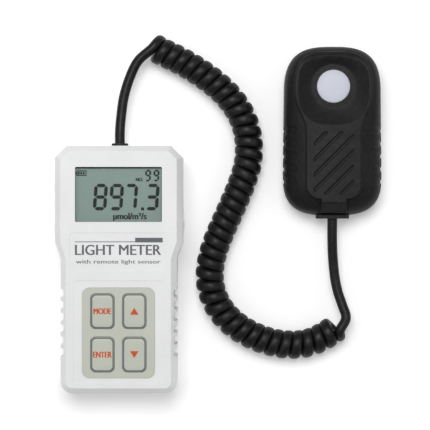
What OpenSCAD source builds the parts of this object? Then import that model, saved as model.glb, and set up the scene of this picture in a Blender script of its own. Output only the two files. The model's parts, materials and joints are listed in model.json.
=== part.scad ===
// Hand-held light meter with a remote sensor head on a curly cord.
// Millimetres. The origin is the centre of the meter's back face, which lies on the table.
// +Y runs from the grip to the cord exit, +X to the right of the display, +Z out of the display.

/* [Meter case] */
// Width of the display end
head_w = 66; // [65:0.5:80]
// Width of the grip
grip_w = 60; // [58:0.5:64]
// Length of the case along Y
case_l = 128; // [126:0.5:160]
// Thickness of the case, face to back
case_h = 30; // [30:0.5:40]
// Height of the joint between the two covers above the back
parting_z = 14; // [12:0.5:15]
// Thickness of the side walls
wall = 2; // [1.6:0.1:2.4]
// Thickness of the front face
face_t = 2; // [1.8:0.1:2.4]
// Thickness of the back
back_t = 2.4; // [2.4:0.1:3]
// Size of the 45 degree cuts on the two top corners
corner_cut = 6; // [3:0.5:7]
// Radius of the two bottom corners
corner_r = 6.2; // [4:0.1:8]
// Width of the bevel round the front face
bevel_w = 3; // [2:0.1:3.4]
// Height of the bevel round the front face
bevel_h = 3.8; // [2:0.1:5]
// Distance from the top end to where the taper begins
taper_from_top = 49.7; // [48:0.1:56]
// Length of the taper from the display end down to the grip
taper_l = 8.3; // [4:0.1:12]
// Inner lip of the back cover that locates the front cover: height
lip_h = 1.2; // [0.8:0.1:2]
// Inner lip: thickness
lip_t = 0.9; // [0.6:0.1:1]

/* [Finger notches] */
// Notches on each side of the grip
notch_count = 6; // [3:1:6]
// Distance between notches
notch_pitch = 6.12; // [5.5:0.01:7]
// Width of a notch
notch_w = 4.2; // [2:0.1:4.6]
// Depth of a notch
notch_d = 1.65; // [0.8:0.05:1.8]
// Distance of the lowest notch from the bottom end
notch_from_bottom = 21.3; // [18:0.1:26]

/* [Display] */
// Window opening: width
window_w = 44.7; // [36:0.1:46]
// Window opening: height
window_l = 28.3; // [20:0.1:29]
// Distance of the window's centre from the top end
window_from_top = 25.2; // [24.5:0.1:30]
// Depth of the window pane below the face
window_sink = 1.2; // [0.8:0.1:1.4]
// Thickness of the clear window pane
pane_t = 1.2; // [1:0.1:1.2]
// Thickness of the display glass
lcd_t = 2.4; // [1.8:0.1:2.4]

/* [Keypad] */
// Overlay: width
keypad_w = 37.4; // [36:0.1:44]
// Overlay: length
keypad_l = 46.5; // [45:0.1:50]
// Distance of the overlay's centre from the bottom end
keypad_from_bottom = 31.6; // [31.5:0.1:36]
// Thickness of the overlay
keypad_t = 1; // [0.9:0.1:1.2]
// Key cap: width
key_w = 12.2; // [8:0.1:12.6]
// Key cap: length
key_l = 18; // [12:0.1:18.4]
// Distance between key centres across the case
key_pitch_x = 16.4; // [16.2:0.1:18]
// Distance between key centres along the case
key_pitch_y = 22.3; // [22.1:0.1:24]
// Height of a key cap above the face
key_rise = 0.7; // [0.4:0.1:1]
// Gap round a key cap
key_gap = 0.2; // [0.15:0.05:0.3]
// Travel of a key
key_travel = 0.5; // [0.2:0.1:0.5]

/* [Power switch] */
// Distance of the slot's centre from the top end
switch_from_top = 38.5; // [34:0.5:44]
// Travel of the knob
switch_travel = 5; // [3:0.5:6]
// How far the knob stands out of the side
knob_proud = 1; // [0.6:0.1:1.6]

/* [Battery] */
// Battery block: width
battery_w = 26.5; // [24:0.1:27]
// Battery block: length without its terminals
battery_l = 46; // [40:0.1:48]
// Battery block: thickness
battery_t = 17.5; // [15:0.1:17.5]
// Room round the battery
battery_room = 0.6; // [0.3:0.1:1]
// Thickness of the sliding door
door_t = 1.9; // [1.6:0.1:2]
// Gap all round the sliding door
door_gap = 0.15; // [0.1:0.05:0.3]
// How far the door's edge tongues reach under the back
tongue = 1.2; // [0.8:0.1:1.6]

/* [Sensor head] */
// Width
sensor_w = 51.6; // [50:0.2:62]
// Length
sensor_l = 88.4; // [86:0.2:106]
// Thickness
sensor_h = 25; // [25:0.2:30]
// Height of the joint between the two sensor covers
sensor_parting = 11; // [10.8:0.1:11.2]
// Wall thickness of the sensor covers
sensor_wall = 2.2; // [1.6:0.1:2.4]
// Centre of the head, across
sensor_x = 111.2; // [100:0.1:140]
// Centre of the head, along
sensor_y = 72.1; // [60:0.1:80]
// Distance of the diffuser's centre from the top end
diffuser_from_top = 21.3; // [20.5:0.1:24]
// Diameter of the white diffuser
diffuser_d = 17.2; // [14:0.1:18]
// Radius of the dish round the diffuser, at its rim
dish_r = 18.3; // [16:0.1:19]
// Radius of the flat floor of the dish
dish_floor_r = 11.6; // [10.5:0.1:13]
// Depth of the dish
dish_d = 4; // [2:0.1:4]
// Width of the raised panel
panel_w = 29; // [24:0.2:32]
// Width of the grip grooves cut across the panel
groove_w = 1.7; // [1:0.1:2]
// Distance between grooves, square to them
groove_pitch = 5.6; // [4:0.1:7]

/* [Cord] */
// Diameter of the straight cord
cord_d = 5.2; // [4:0.1:6]
// Outer diameter of the curl
curl_d = 15; // [12:0.1:18]
// How far the collar stands out of the case
collar_l = 1.6; // [1:0.1:4]
// How far the sensor's cord gland stands out of the head
gland_l = 2.3; // [1.5:0.1:4]

/* [Fasteners] */
// Shank diameter of the case screws
screw_d = 2.5; // [2:0.1:2.6]
// Head diameter of the case screws
screw_head_d = 5; // [4:0.1:5.2]
// Head height of the case screws
screw_head_h = 1.8; // [1.2:0.1:1.8]
// Shank diameter of the board screws
board_screw_d = 2; // [1.6:0.1:2]
// Thickness of the circuit boards
board_t = 1.6; // [1:0.1:1.6]

/* [Hidden] */
$fn = 48;
eps = 0.01;

// Places along the case, measured from its two ends
top_y = case_l / 2;
bottom_y = -case_l / 2;
taper_top = top_y - taper_from_top;
taper_bottom = taper_top - taper_l;
window_y = top_y - window_from_top;
keypad_y = bottom_y + keypad_from_bottom;
switch_y = top_y - switch_from_top;

// Heights inside the meter, from the face down
pane_z = case_h - window_sink - pane_t;
lcd_gap = 0.3;
lcd_z = pane_z - lcd_gap - lcd_t;
contact_h = 2.3;
board_top = lcd_z - contact_h;
board_z = board_top - board_t;
inner_top = case_h - face_t;
overlay_sink = keypad_t - 0.2;

// Display frame
lcd_w = window_w + 1.7;
lcd_l = window_l + 0.1;
lcd_frame_wall = 1;
lcd_clear = 0.1;

// Main board
board_w = grip_w - 9;
board_l = case_l - 23;
board_y = top_y - 11 - board_l / 2;
board_hole_x = board_w / 2 - 3;
board_hole_ys = [taper_top + 1.8, board_y - board_l / 2 + 4];
post_r = 2.5;

// Case screws: two at the display end, two in the bottom corners
boss_r = 2.8;
boss_foot_r = 3.8;
case_screw_top = [head_w / 2 - wall - 4.2, top_y - wall - 5.6];
case_screw_bottom = [grip_w / 2 - wall - 4.5, bottom_y + wall + 5];
case_screw_xy = [
  case_screw_top, [-case_screw_top.x, case_screw_top.y],
  case_screw_bottom, [-case_screw_bottom.x, case_screw_bottom.y]
];
seat_z = 2.4;
screw_grip = 9;
cross_w = 0.7;

// Keys
key_r = 2.6;
key_flange = 1;
key_flange_t = 0.9;
flange_z = inner_top - 0.1 - key_flange_t;
switch_h = flange_z - key_travel - 0.2 - board_top;
nub_r = 1.7;
nub_reach = 0.7;
key_switch_w = 6.2;
well_depth = nub_reach + key_travel - (flange_z - board_top - switch_h) + 0.3;

// Power switch
knob_l = 4;
knob_h = 3;
slot_l = switch_travel + knob_l + 0.6;
slot_h = knob_h + 0.5;
slot_z = parting_z + 4.5;
bezel_proud = 0.4;
bezel_edge = 1.2;
switch_body_depth = 6;
switch_face_x = head_w / 2 - wall - 1.5;
switch_body_h = board_z - slot_z + 2.8;
knob_y0 = switch_y - switch_travel / 2;

// Battery compartment, at the bottom end
terminal_h = 2.5;
door_z = 0.15;
door_top = door_z + door_t;
battery_z = door_top + 0.3;
tray_w = battery_w + 2 * battery_room;
tray_l = battery_l + terminal_h + 6;
tray_wall = 1.5;
tray_y0 = bottom_y + 5.5;
tray_y1 = tray_y0 + tray_l;
tray_h = battery_z + battery_t - 1;
battery_y0 = tray_y0 + battery_room;
snap_t = 3;
snap_y0 = battery_y0 + battery_l + terminal_h;
door_w = tray_w + 4;
door_y1 = tray_y1 + 2;
tongue_z = 1.1;
door_grip_w = 14;

// Cord exit of the meter
cord_r = cord_d / 2;
collar_r = cord_r + 1.7;
neck_r = cord_r + 1.2;
flange_r = cord_r + 2.6;
flange_t = 1.4;
exit_y = top_y + collar_l;
tail_l = 14;
socket_y = top_y - 22;

// Sensor head: its outline is two superellipse ends joined by near-straight sides
end_power = 3;
sensor_top = sensor_l / 2;
top_end_l = 26.3;
bottom_end_l = 22.1;
top_half_w = sensor_w / 2 - 0.5;
bottom_half_w = sensor_w / 2;
dish_y = sensor_top - diffuser_from_top;
dish_floor_z = sensor_h - dish_d;
dish_floor_t = 1.6;
sensor_inner_top = dish_floor_z - dish_floor_t;
diffuser_r = diffuser_d / 2;
diffuser_flange_r = diffuser_r + 1.2;
diffuser_flange_t = 1.2;
diffuser_rise = 0.8;
diffuser_crown = 0.7;
seal_out = diffuser_r + 0.95;
seal_h = 0.8;
filter_r = 6.5;
filter_t = 1.9;
photodiode_r = 4.6;
sensor_board_top = sensor_inner_top - diffuser_flange_t - 5.1;
sensor_board_z = sensor_board_top - board_t;
sensor_board_w = 26;
sensor_board_l = 56;
sensor_board_y = dish_y - 15.3;
sensor_post_xy = [[-10, sensor_board_y - 18], [10, sensor_board_y - 18]];
sensor_boss_xy = [[17, sensor_top - 11], [-17, sensor_top - 11],
                  [15, 11 - sensor_top], [-15, 11 - sensor_top]];
panel_bottom = 8 - sensor_top;
panel_r = 7.2;
tab_w = 13.4;
groove_area_w = 20.6;
groove_area_l = 32.4;
groove_y = dish_y - 40;
groove_depth = 0.7;
scallop_count = 5;
scallop_pitch = 6.65;
scallop_first = 0.1;
scallop_r = 2.1;
scallop_depth = 0.6;

// Sensor cord exit
gland_w = 17.5;
gland_h = 10;
gland_z = 11;
gland_seat_y = 0.7 - sensor_top;
gland_neck_w = 12;
gland_neck_h = 8;
gland_y = sensor_y - sensor_l / 2 + 0.7 - gland_l;

// Route of the cord: meter lead, axis of the curl, sensor lead, each [x, y, z]
cord_z = parting_z;
curl_r = curl_d / 2;
meter_lead = [
  [0, 65.6, 14], [0, 72, 13.6], [0.6, 80, 12.9], [2, 90, 12.2], [5, 100, 11.9],
  [9.5, 109, 12], [14, 115.5, 12.3], [19.5, 118.5, 12.4], [25, 117, 11.5]
];
curl_axis = [
  [17.6, 116.4], [24, 113], [31, 109.6], [38, 105.6], [45.5, 100.6], [52.5, 95],
  [58.5, 88.6], [63.3, 81.3], [66.4, 73], [67.6, 64], [66.9, 55], [64.2, 46],
  [60.6, 37], [56.6, 28], [52.6, 19], [49.2, 10], [47.2, 1], [47.2, -8],
  [50, -17], [55.4, -25], [62.6, -31.2], [71, -35.8], [80, -38.8], [89, -40],
  [98, -39.2], [106.4, -35.8], [113.4, -31.2]
];
sensor_lead = [
  [109, -38.5, 12], [114, -37.4, 12.4], [118, -33, 12], [118.4, -26, 10.8], [116.5, -19, 9.6],
  [114.2, -12, 8.8], [112.6, -4, 8.6], [111.6, 6, 9.2], [111.2, 16, 10.4], [111.2, 26.3, 11]
];
lead_sides = 10;
curl_sides = 12;

// ---------- shared shapes ----------

// Rectangle with true round corners
module rounded_rect(w, l, r) {
  square([w, l - 2 * r], center = true);
  square([w - 2 * r, l], center = true);
  for (sx = [-1, 1], sy = [-1, 1])
    translate([sx * (w / 2 - r), sy * (l / 2 - r)])
      circle(r);
}

// Block with round upright corners, standing on z
module rounded_block(w, l, r, z, h) {
  translate([0, 0, z])
    linear_extrude(h)
      rounded_rect(w, l, r);
}

// Upright cylinder from height z0 to z1
module post(r, z0, z1) {
  translate([0, 0, z0])
    cylinder(r = r, h = z1 - z0);
}

// Cylinder that runs along +Y from y0 to y1
module rod_y(r, y0, y1) {
  translate([0, y0, 0])
    rotate([-90, 0, 0])
      cylinder(r = r, h = y1 - y0);
}

// Straight wire between two points
module wire(p, q, r) {
  v = q - p;
  translate(p)
    rotate([0, acos(v.z / norm(v)), atan2(v.y, v.x)])
      cylinder(r = r, h = norm(v), $fn = 16);
}

// Self-tapping screw: head under z, cross recess, shank up from z
module screw(z, shank_r, shank_l, head_r, head_h) {
  difference() {
    post(head_r, z - head_h, z);
    for (a = [0, 90])
      rotate([0, 0, a])
        translate([-head_r * 0.55, -cross_w / 2, z - head_h - eps])
          cube([head_r * 1.1, cross_w, head_h * 0.5]);
  }
  post(shank_r, z - eps, z + shank_l);
}

// ---------- meter case ----------

// Outline of the display end with its taper, moved in by d
module head_outline(d) {
  x = head_w / 2 - d;
  g = grip_w / 2 - d;
  y = top_y - d;
  cut = corner_cut - d * (2 - sqrt(2));
  polygon([
    [x - cut, y], [x, y - cut], [x, taper_top], [g, taper_bottom],
    [-g, taper_bottom], [-x, taper_top], [-x, y - cut], [-x + cut, y]
  ]);
}

// Outline of the grip, moved in by d, with extra more taken off the sides only
module grip_outline(d, extra = 0) {
  x = grip_w / 2 - d - extra;
  y = bottom_y + d;
  r = corner_r - d;
  polygon([
    [x, taper_bottom + eps], [x, y + r], [x - r, y], [-x + r, y],
    [-x, y + r], [-x, taper_bottom + eps]
  ]);
  for (s = [-1, 1])
    translate([s * (x - r), y + r])
      circle(r);
}

// The hollow inside the case: the grip's hollow clears the notches
module case_hollow(d) {
  head_outline(d);
  grip_outline(d, notch_d);
}

// Finger notches on both sides, through the whole thickness
module notches() {
  r = 0.8;
  for (s = [-1, 1], k = [0 : notch_count - 1])
    translate([s * grip_w / 2, bottom_y + notch_from_bottom + k * notch_pitch, -1])
      linear_extrude(case_h + 2)
        union() {
          rounded_rect(2 * notch_d, notch_w, r);
          translate([s * notch_d, 0])
            square([2 * notch_d, notch_w], center = true);
        }
}

module at_case_screws() {
  for (p = case_screw_xy)
    translate([p.x, p.y, 0])
      children();
}

module at_board_screws() {
  for (s = [-1, 1], y = board_hole_ys)
    translate([s * board_hole_x, y, 0])
      children();
}

module at_keys() {
  for (sx = [-1, 1], sy = [-1, 1])
    translate([sx * key_pitch_x / 2, keypad_y + sy * key_pitch_y / 2, 0])
      children();
}

// Half of the front cover's outer form: full outline below, moved in at the face
module front_block() {
  lower = case_h - bevel_h - parting_z;
  hull() {
    translate([0, 0, parting_z])
      linear_extrude(lower)
        children(0);
    translate([0, 0, parting_z])
      linear_extrude(case_h - parting_z)
        children(1);
  }
}

module front_cover() {
  color([0.9, 0.905, 0.905])
    difference() {
      union() {
        difference() {
          union() {
            front_block() {
              head_outline(0);
              head_outline(bevel_w);
            }
            front_block() {
              grip_outline(0, $fn = 32);
              grip_outline(bevel_w, $fn = 32);
            }
          }
          translate([0, 0, parting_z - eps])
            linear_extrude(case_h - bevel_h - parting_z)
              case_hollow(wall);
          translate([0, 0, parting_z])
            linear_extrude(inner_top - parting_z)
              case_hollow(wall + 2);
          translate([0, 0, parting_z - eps])
            linear_extrude(lip_h + 0.2)
              case_hollow(wall - lip_t - 0.1);
          notches();
        }
        power_bezel();
        at_case_screws()
          post(boss_r, parting_z, inner_top + 0.2);
        at_board_screws()
          post(post_r, board_top, inner_top + 0.2);
        // two ribs that stiffen the face between the display and the keypad
        for (y = [taper_top - 2, taper_bottom - 3])
          translate([-board_w / 2 + 4, y, inner_top - 1.6])
            cube([board_w - 8, 1.2, 1.8]);
      }
      // display window, and the pocket behind it for the pane
      translate([0, window_y, 0]) {
        rounded_block(window_w, window_l, 0.6, case_h - 5, 6);
        translate([0, 0, case_h - window_sink - 5])
          linear_extrude(5)
            square([window_w + 2.9, window_l + 2.9], center = true);
      }
      // shallow label field and keypad field
      translate([0, taper_top - 4.9, 0])
        rounded_block(50.3, 19.2, 1.8, case_h - 0.3, 1);
      translate([0, keypad_y + 0.5, 0])
        rounded_block(46.3, 52.6, 2, case_h - 0.3, 1);
      translate([0, keypad_y, 0])
        rounded_block(keypad_w + 0.1, keypad_l + 0.1, 4, case_h - overlay_sink, 2);
      at_keys()
        rounded_block(key_w + 2 * key_gap, key_l + 2 * key_gap, key_r + key_gap, inner_top - 1, 5);
      at_case_screws()
        post(screw_d / 2, parting_z - 1, parting_z + screw_grip + 1);
      at_board_screws()
        post(board_screw_d / 2, board_top - 1, inner_top - 0.5);
      power_slot();
      cord_hole();
    }
}

// Slot for the power knob through the right side
module power_slot() {
  translate([head_w / 2 - wall - 2, switch_y - slot_l / 2, slot_z - slot_h / 2])
    cube([wall + 4, slot_l, slot_h]);
}

// Raised edge round the power slot
module power_bezel() {
  l = slot_l + 2 * bezel_edge;
  h = slot_h + 2 * bezel_edge;
  translate([head_w / 2 - wall + 0.5, switch_y, slot_z])
    rotate([90, 0, 90])
      linear_extrude(wall - 0.5 + bezel_proud)
        rounded_rect(l, h, 1);
}

// Hole for the cord's grommet, half in each cover
module cord_hole() {
  translate([0, 0, cord_z])
    rod_y(neck_r, top_y - wall - 1, top_y + 1);
}

// Half of the back cover's outer form, with a small bevel at the back
module rear_block() {
  hull() {
    translate([0, 0, 1])
      linear_extrude(parting_z - 1)
        children(0);
    linear_extrude(parting_z)
      children(1);
  }
}

// Bed of the sliding door: plate, then wider tongues above it, open at the bottom end
module door_bed() {
  l = door_y1 + door_gap - bottom_y + 2;
  translate([-door_w / 2 - door_gap, bottom_y - 2, -1])
    cube([door_w + 2 * door_gap, l, 1 + door_top + door_gap]);
  translate([-door_w / 2 - tongue - door_gap, bottom_y - 2, tongue_z - door_gap])
    cube([door_w + 2 * (tongue + door_gap), l, door_top + door_gap - tongue_z + door_gap]);
}

module rear_cover() {
  color([0.87, 0.875, 0.87])
    difference() {
      union() {
        difference() {
          union() {
            rear_block() {
              head_outline(0);
              head_outline(0.8);
            }
            rear_block() {
              grip_outline(0, $fn = 32);
              grip_outline(0.8, $fn = 32);
            }
          }
          translate([0, 0, back_t])
            linear_extrude(parting_z)
              case_hollow(wall);
          notches();
        }
        // locating lip inside the front cover
        translate([0, 0, parting_z - 1])
          linear_extrude(lip_h + 1)
            difference() {
              case_hollow(wall - lip_t);
              case_hollow(wall);
            }
        at_case_screws() {
          post(boss_r, 1, parting_z);
          post(boss_foot_r, 1, seat_z + 2);
        }
        // battery tray with the thicker floor that carries the door
        translate([-door_w / 2 - tongue - 2, bottom_y + wall / 2, 0.5])
          cube([door_w + 2 * tongue + 4, door_y1 + 2 - bottom_y - wall / 2, door_top + 1.5]);
        translate([-tray_w / 2 - tray_wall, tray_y0 - tray_wall, 1])
          cube([tray_w + 2 * tray_wall, tray_l + 2 * tray_wall, tray_h - 1]);
      }
      translate([-tray_w / 2, tray_y0, -1])
        cube([tray_w, tray_l, case_h]);
      // gap in the tray's end wall for the battery leads
      translate([-5, tray_y1 - 1, tray_h - 6])
        cube([10, tray_wall + 2, 7]);
      door_bed();
      at_case_screws() {
        post(screw_d / 2 + 0.3, -1, parting_z + 1);
        post(screw_head_d / 2 + 0.2, -1, seat_z);
      }
      cord_hole();
      // room for the end flange of the grommet
      translate([0, 0, cord_z])
        rod_y(flange_r + 0.1, top_y - wall - flange_t - 0.2, top_y - wall + eps);
    }
}

module window_pane() {
  color([0.75, 0.82, 0.8, 0.4])
    translate([0, window_y, pane_z])
      linear_extrude(pane_t)
        square([window_w + 2.9, window_l + 2.9], center = true);
}

module lcd_glass() {
  color([0.51, 0.59, 0.55])
    translate([0, window_y, lcd_z])
      linear_extrude(lcd_t)
        square([lcd_w, lcd_l], center = true);
}

module lcd_frame() {
  outer_w = lcd_w + 2 * (lcd_clear + lcd_frame_wall);
  outer_l = lcd_l + 2 * (lcd_clear + lcd_frame_wall);
  color([0.85, 0.85, 0.83])
    translate([0, window_y, 0])
      difference() {
        translate([-outer_w / 2, -outer_l / 2, board_top])
          cube([outer_w, outer_l, contact_h + lcd_t - 0.2]);
        // pocket for the glass, and a smaller opening under its middle
        translate([-lcd_w / 2 - lcd_clear, -lcd_l / 2 - lcd_clear, lcd_z])
          cube([lcd_w + 2 * lcd_clear, lcd_l + 2 * lcd_clear, lcd_t + 1]);
        translate([-lcd_w / 2 + 1, -lcd_l / 2 + 4, board_top - 1])
          cube([lcd_w - 2, lcd_l - 8, lcd_t + 4]);
        for (s = [-1, 1])
          translate([-lcd_w / 2 + 1, s * (lcd_l / 2 - 2) - 1, board_top - 1])
            cube([lcd_w - 2, 2, lcd_t + 4]);
      }
}

// Two rubber contact strips between the display glass and the board
module lcd_contacts() {
  color([0.75, 0.35, 0.35])
    for (s = [-1, 1])
      translate([-lcd_w / 2 + 1.2, window_y + s * (lcd_l / 2 - 2) - 0.9, board_top])
        cube([lcd_w - 2.4, 1.8, contact_h]);
}

module main_board() {
  color([0.1, 0.36, 0.2])
    difference() {
      translate([-board_w / 2, board_y - board_l / 2, board_z])
        cube([board_w, board_l, board_t]);
      at_board_screws()
        post(board_screw_d / 2 + 0.2, board_z - 1, board_top + 1);
      for (x = [-2, 2])
        translate([x, tray_y1 + 6, 0])
          post(0.7, board_z - 1, board_top + 1);
    }
}

// Flat-pack chip with rows of legs on two or four sides
module chip(w, l, h, legs, pitch, four_sides) {
  cube_z = board_top;
  translate([0, 0, cube_z])
    linear_extrude(h)
      square([w, l], center = true);
  for (a = four_sides ? [0, 90, 180, 270] : [0, 180])
    rotate([0, 0, a])
      for (k = [0 : legs - 1])
        translate([w / 2 - 0.1, (k - (legs - 1) / 2) * pitch - 0.2, cube_z])
          cube([1.1, 0.4, h * 0.45]);
}

module microcontroller() {
  color([0.12, 0.12, 0.13])
    translate([-9, taper_bottom + 1.5, 0])
      chip(10, 10, 1.6, 8, 1, true);
}

module amplifier_chip() {
  color([0.12, 0.12, 0.13])
    translate([8, taper_bottom + 4, 0])
      chip(4, 5, 1.5, 4, 1.27, false);
}

module crystal() {
  color([0.75, 0.75, 0.77])
    translate([0, taper_bottom - 4.8, board_top])
      linear_extrude(2.4)
        rounded_rect(8, 3.4, 1.6);
}

module capacitor() {
  color([0.15, 0.2, 0.4])
    translate([16, taper_bottom + 1, board_top + 1.8])
      rod_y(1.8, -4, 4);
}

// Four tactile switches, each with a well that the key's nub enters
module key_switches() {
  color([0.2, 0.2, 0.21])
    at_keys()
      difference() {
        translate([-key_switch_w / 2, -key_switch_w / 2, board_top])
          cube([key_switch_w, key_switch_w, switch_h]);
        post(nub_r + 0.1, board_top + switch_h - well_depth, board_top + switch_h + 1);
      }
}

module keypad_overlay() {
  color([0.75, 0.755, 0.7])
    difference() {
      translate([0, keypad_y, 0])
        rounded_block(keypad_w, keypad_l, 4, case_h - overlay_sink, keypad_t);
      at_keys()
        rounded_block(key_w + 2 * key_gap, key_l + 2 * key_gap, key_r + key_gap, case_h - 2, 4);
    }
}

// One key: cap, flange that keeps it behind the face, and the nub that works its switch
module key(sx, sy) {
  color([0.76, 0.765, 0.72])
    translate([sx * key_pitch_x / 2, keypad_y + sy * key_pitch_y / 2, 0]) {
      rounded_block(key_w, key_l, key_r, flange_z, case_h + key_rise - 0.3 - flange_z);
      rounded_block(key_w - 0.6, key_l - 0.6, key_r - 0.3, case_h, key_rise);
      rounded_block(key_w + 2 * key_flange, key_l + 2 * key_flange, 1, flange_z, key_flange_t);
      post(nub_r, flange_z - nub_reach, flange_z + eps);
    }
}

module key_mode() {
  key(-1, 1);
}

module key_up() {
  key(1, 1);
}

module key_enter() {
  key(-1, -1);
}

module key_down() {
  key(1, -1);
}

// Slide switch under the edge of the board, open towards the side wall
module power_switch() {
  well = switch_travel + 1.9 + 0.6;
  color([0.25, 0.25, 0.26])
    difference() {
      translate([switch_face_x - switch_body_depth, switch_y - slot_l / 2 - 2, board_z - switch_body_h])
        cube([switch_body_depth, slot_l + 4, switch_body_h]);
      translate([switch_face_x - 1.8, switch_y - well / 2, slot_z - 1.1])
        cube([3, well, 2.2]);
    }
}

// The knob that a finger moves, with its tail in the switch
module power_knob() {
  x1 = head_w / 2 + knob_proud;
  x0 = head_w / 2 - wall - 0.6;
  color([0.84, 0.84, 0.835])
    translate([0, knob_y0, slot_z]) {
      translate([x0, -knob_l / 2, -knob_h / 2])
        cube([x1 - x0 - 0.4, knob_l, knob_h]);
      for (k = [-1, 0, 1])
        translate([x1 - 0.8, k * 1.4 - 0.35, -knob_h / 2])
          cube([0.8, 0.7, knob_h]);
      translate([switch_face_x - 1.5, -0.95, -0.95])
        cube([x0 - switch_face_x + 2, 1.9, 1.9]);
    }
}

module battery() {
  color([0.2, 0.22, 0.25])
    union() {
      translate([0, battery_y0, battery_z + battery_t / 2])
        rotate([-90, 0, 0])
          linear_extrude(battery_l)
            rounded_rect(battery_w, battery_t, 2);
      for (s = [-1, 1])
        translate([s * 6.4, 0, battery_z + battery_t / 2])
          rod_y(s > 0 ? 3.6 : 2.8, battery_y0 + battery_l - eps, battery_y0 + battery_l + terminal_h);
    }
}

// Snap connector that caps the battery's two terminals
module battery_snap() {
  color([0.1, 0.1, 0.1])
    translate([0, snap_y0, battery_z + battery_t / 2])
      rotate([-90, 0, 0])
        linear_extrude(snap_t)
          rounded_rect(25, 12, 4);
}

// Two leads from the snap connector up to the board
module battery_leads() {
  z0 = battery_z + battery_t / 2 + 3;
  y0 = snap_y0 + snap_t;
  y1 = tray_y1 + 6;
  color([0.6, 0.1, 0.1])
    for (x = [-2, 2]) {
      wire([x, y0, z0], [x, y1, z0 + 2], 0.6);
      translate([x, y1, 0])
        post(0.65, z0 + 1, board_z + 1);
    }
}

// Sliding door: plate, edge tongues that run in the back cover, and a thumb grip
module battery_door() {
  l = door_y1 - bottom_y;
  color([0.87, 0.875, 0.87])
    difference() {
      union() {
        translate([-door_w / 2, bottom_y, door_z])
          cube([door_w, l, door_t]);
        translate([-door_w / 2 - tongue, bottom_y + wall, tongue_z])
          cube([door_w + 2 * tongue, l - wall, door_top - tongue_z]);
      }
      // thumb grip: a row of grooves, and an arrow that points the way it opens
      for (k = [0 : 5])
        translate([-door_grip_w / 2, door_y1 - 8 - 2 * k, door_z - 1])
          cube([door_grip_w, 1, 1.5]);
      translate([0, door_y1 - 24, door_z - 1])
        linear_extrude(1.5)
          polygon([[-4, 3], [4, 3], [0, -3]]);
    }
}

module case_screws() {
  color([0.5, 0.5, 0.5])
    at_case_screws()
      screw(seat_z, screw_d / 2, parting_z - seat_z + screw_grip, screw_head_d / 2, screw_head_h);
}

module board_screws() {
  color([0.7, 0.7, 0.68])
    at_board_screws()
      screw(board_z, board_screw_d / 2, board_t + 4, 1.9, 1.4);
}

// Black collar that the cord leaves the meter through
module cord_grommet() {
  y0 = top_y - wall - flange_t;
  color([0.07, 0.07, 0.075])
    translate([0, 0, cord_z])
      difference() {
        union() {
          rod_y(flange_r, y0, y0 + flange_t);
          rod_y(neck_r, y0, top_y + eps);
          rod_y(collar_r, top_y, exit_y);
        }
        rod_y(cord_r, y0 - 1, exit_y + 1);
      }
}

// The end of the cord inside the meter
module meter_cord_tail() {
  color([0.07, 0.07, 0.075])
    translate([0, 0, cord_z])
      rod_y(cord_r, exit_y - tail_l, exit_y);
}

// Tie round a cord tail that stops it from being pulled out
module cable_tie(y) {
  difference() {
    union() {
      rod_y(cord_r + 0.9, y, y + 2.5);
      translate([-1.8, y, cord_r])
        cube([3.6, 2.5, 2.6]);
    }
    rod_y(cord_r, y - 1, y + 4);
  }
}

module meter_cable_tie() {
  color([0.85, 0.85, 0.82])
    translate([0, 0, cord_z])
      cable_tie(top_y - 9);
}

// Three wires from a cord tail to its connector
module meter_wires() {
  color([0.8, 0.8, 0.2])
    for (x = [-1.6, 0, 1.6])
      wire([x / 2, exit_y - tail_l, cord_z], [x, socket_y + 3, board_z - 2.5], 0.45);
}

module cord_socket() {
  color([0.9, 0.88, 0.8])
    translate([-5, socket_y - 3, board_z - 5])
      cube([10, 6, 5]);
}

// ---------- sensor head ----------

// Outline of the head about its own centre, moved in by d
module sensor_outline(d) {
  polygon(concat(
    [
      for (k = [0 : 24])
        let (c = cos(180 * k / 24), q = sin(180 * k / 24))
          [
            (top_half_w - d) * sign(c) * pow(abs(c), 2 / end_power),
            sensor_top - top_end_l + (top_end_l - d) * pow(q, 2 / end_power)
          ]
    ],
    [
      for (k = [0 : 24])
        let (c = cos(180 + 180 * k / 24), q = sin(180 * k / 24))
          [
            (bottom_half_w - d) * sign(c) * pow(abs(c), 2 / end_power),
            -sensor_top + bottom_end_l - (bottom_end_l - d) * pow(q, 2 / end_power)
          ]
    ]
  ));
}

// Pear-shaped top: a round bulb about the dish, and the panel with round corners below it
module pear(d) {
  translate([0, dish_y])
    circle(dish_r + 1.6 - d);
  translate([0, (dish_y + panel_bottom) / 2])
    rounded_rect(panel_w - 2 * d, dish_y - panel_bottom - 2 * d, panel_r - d);
  translate([-tab_w / 2 + d, gland_seat_y + 1])
    square([tab_w - 2 * d, panel_bottom + 5 - gland_seat_y]);
}

module at_sensor() {
  translate([sensor_x, sensor_y, 0])
    children();
}

module at_sensor_screws() {
  at_sensor()
    for (p = sensor_boss_xy)
      translate([p.x, p.y, 0])
        children();
}

// Grip scallops down both sides of the head
module scallops() {
  for (s = [-1, 1], k = [0 : scallop_count - 1])
    translate([
      s * (sensor_w / 2 + scallop_r - scallop_depth),
      scallop_first - k * scallop_pitch,
      -1
    ])
      cylinder(r = scallop_r, h = sensor_h);
}

// Six slanted grooves with round ends, inside the groove field of the panel
module panel_grooves() {
  span = groove_area_w + groove_area_l;
  translate([0, groove_y, sensor_h - groove_depth])
    linear_extrude(2)
      intersection() {
        square([groove_area_w, groove_area_l], center = true);
        for (k = [-2.5 : 2.5])
          rotate([0, 0, 45])
            translate([0, k * groove_pitch])
              square([span, groove_w], center = true);
      }
}

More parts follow.
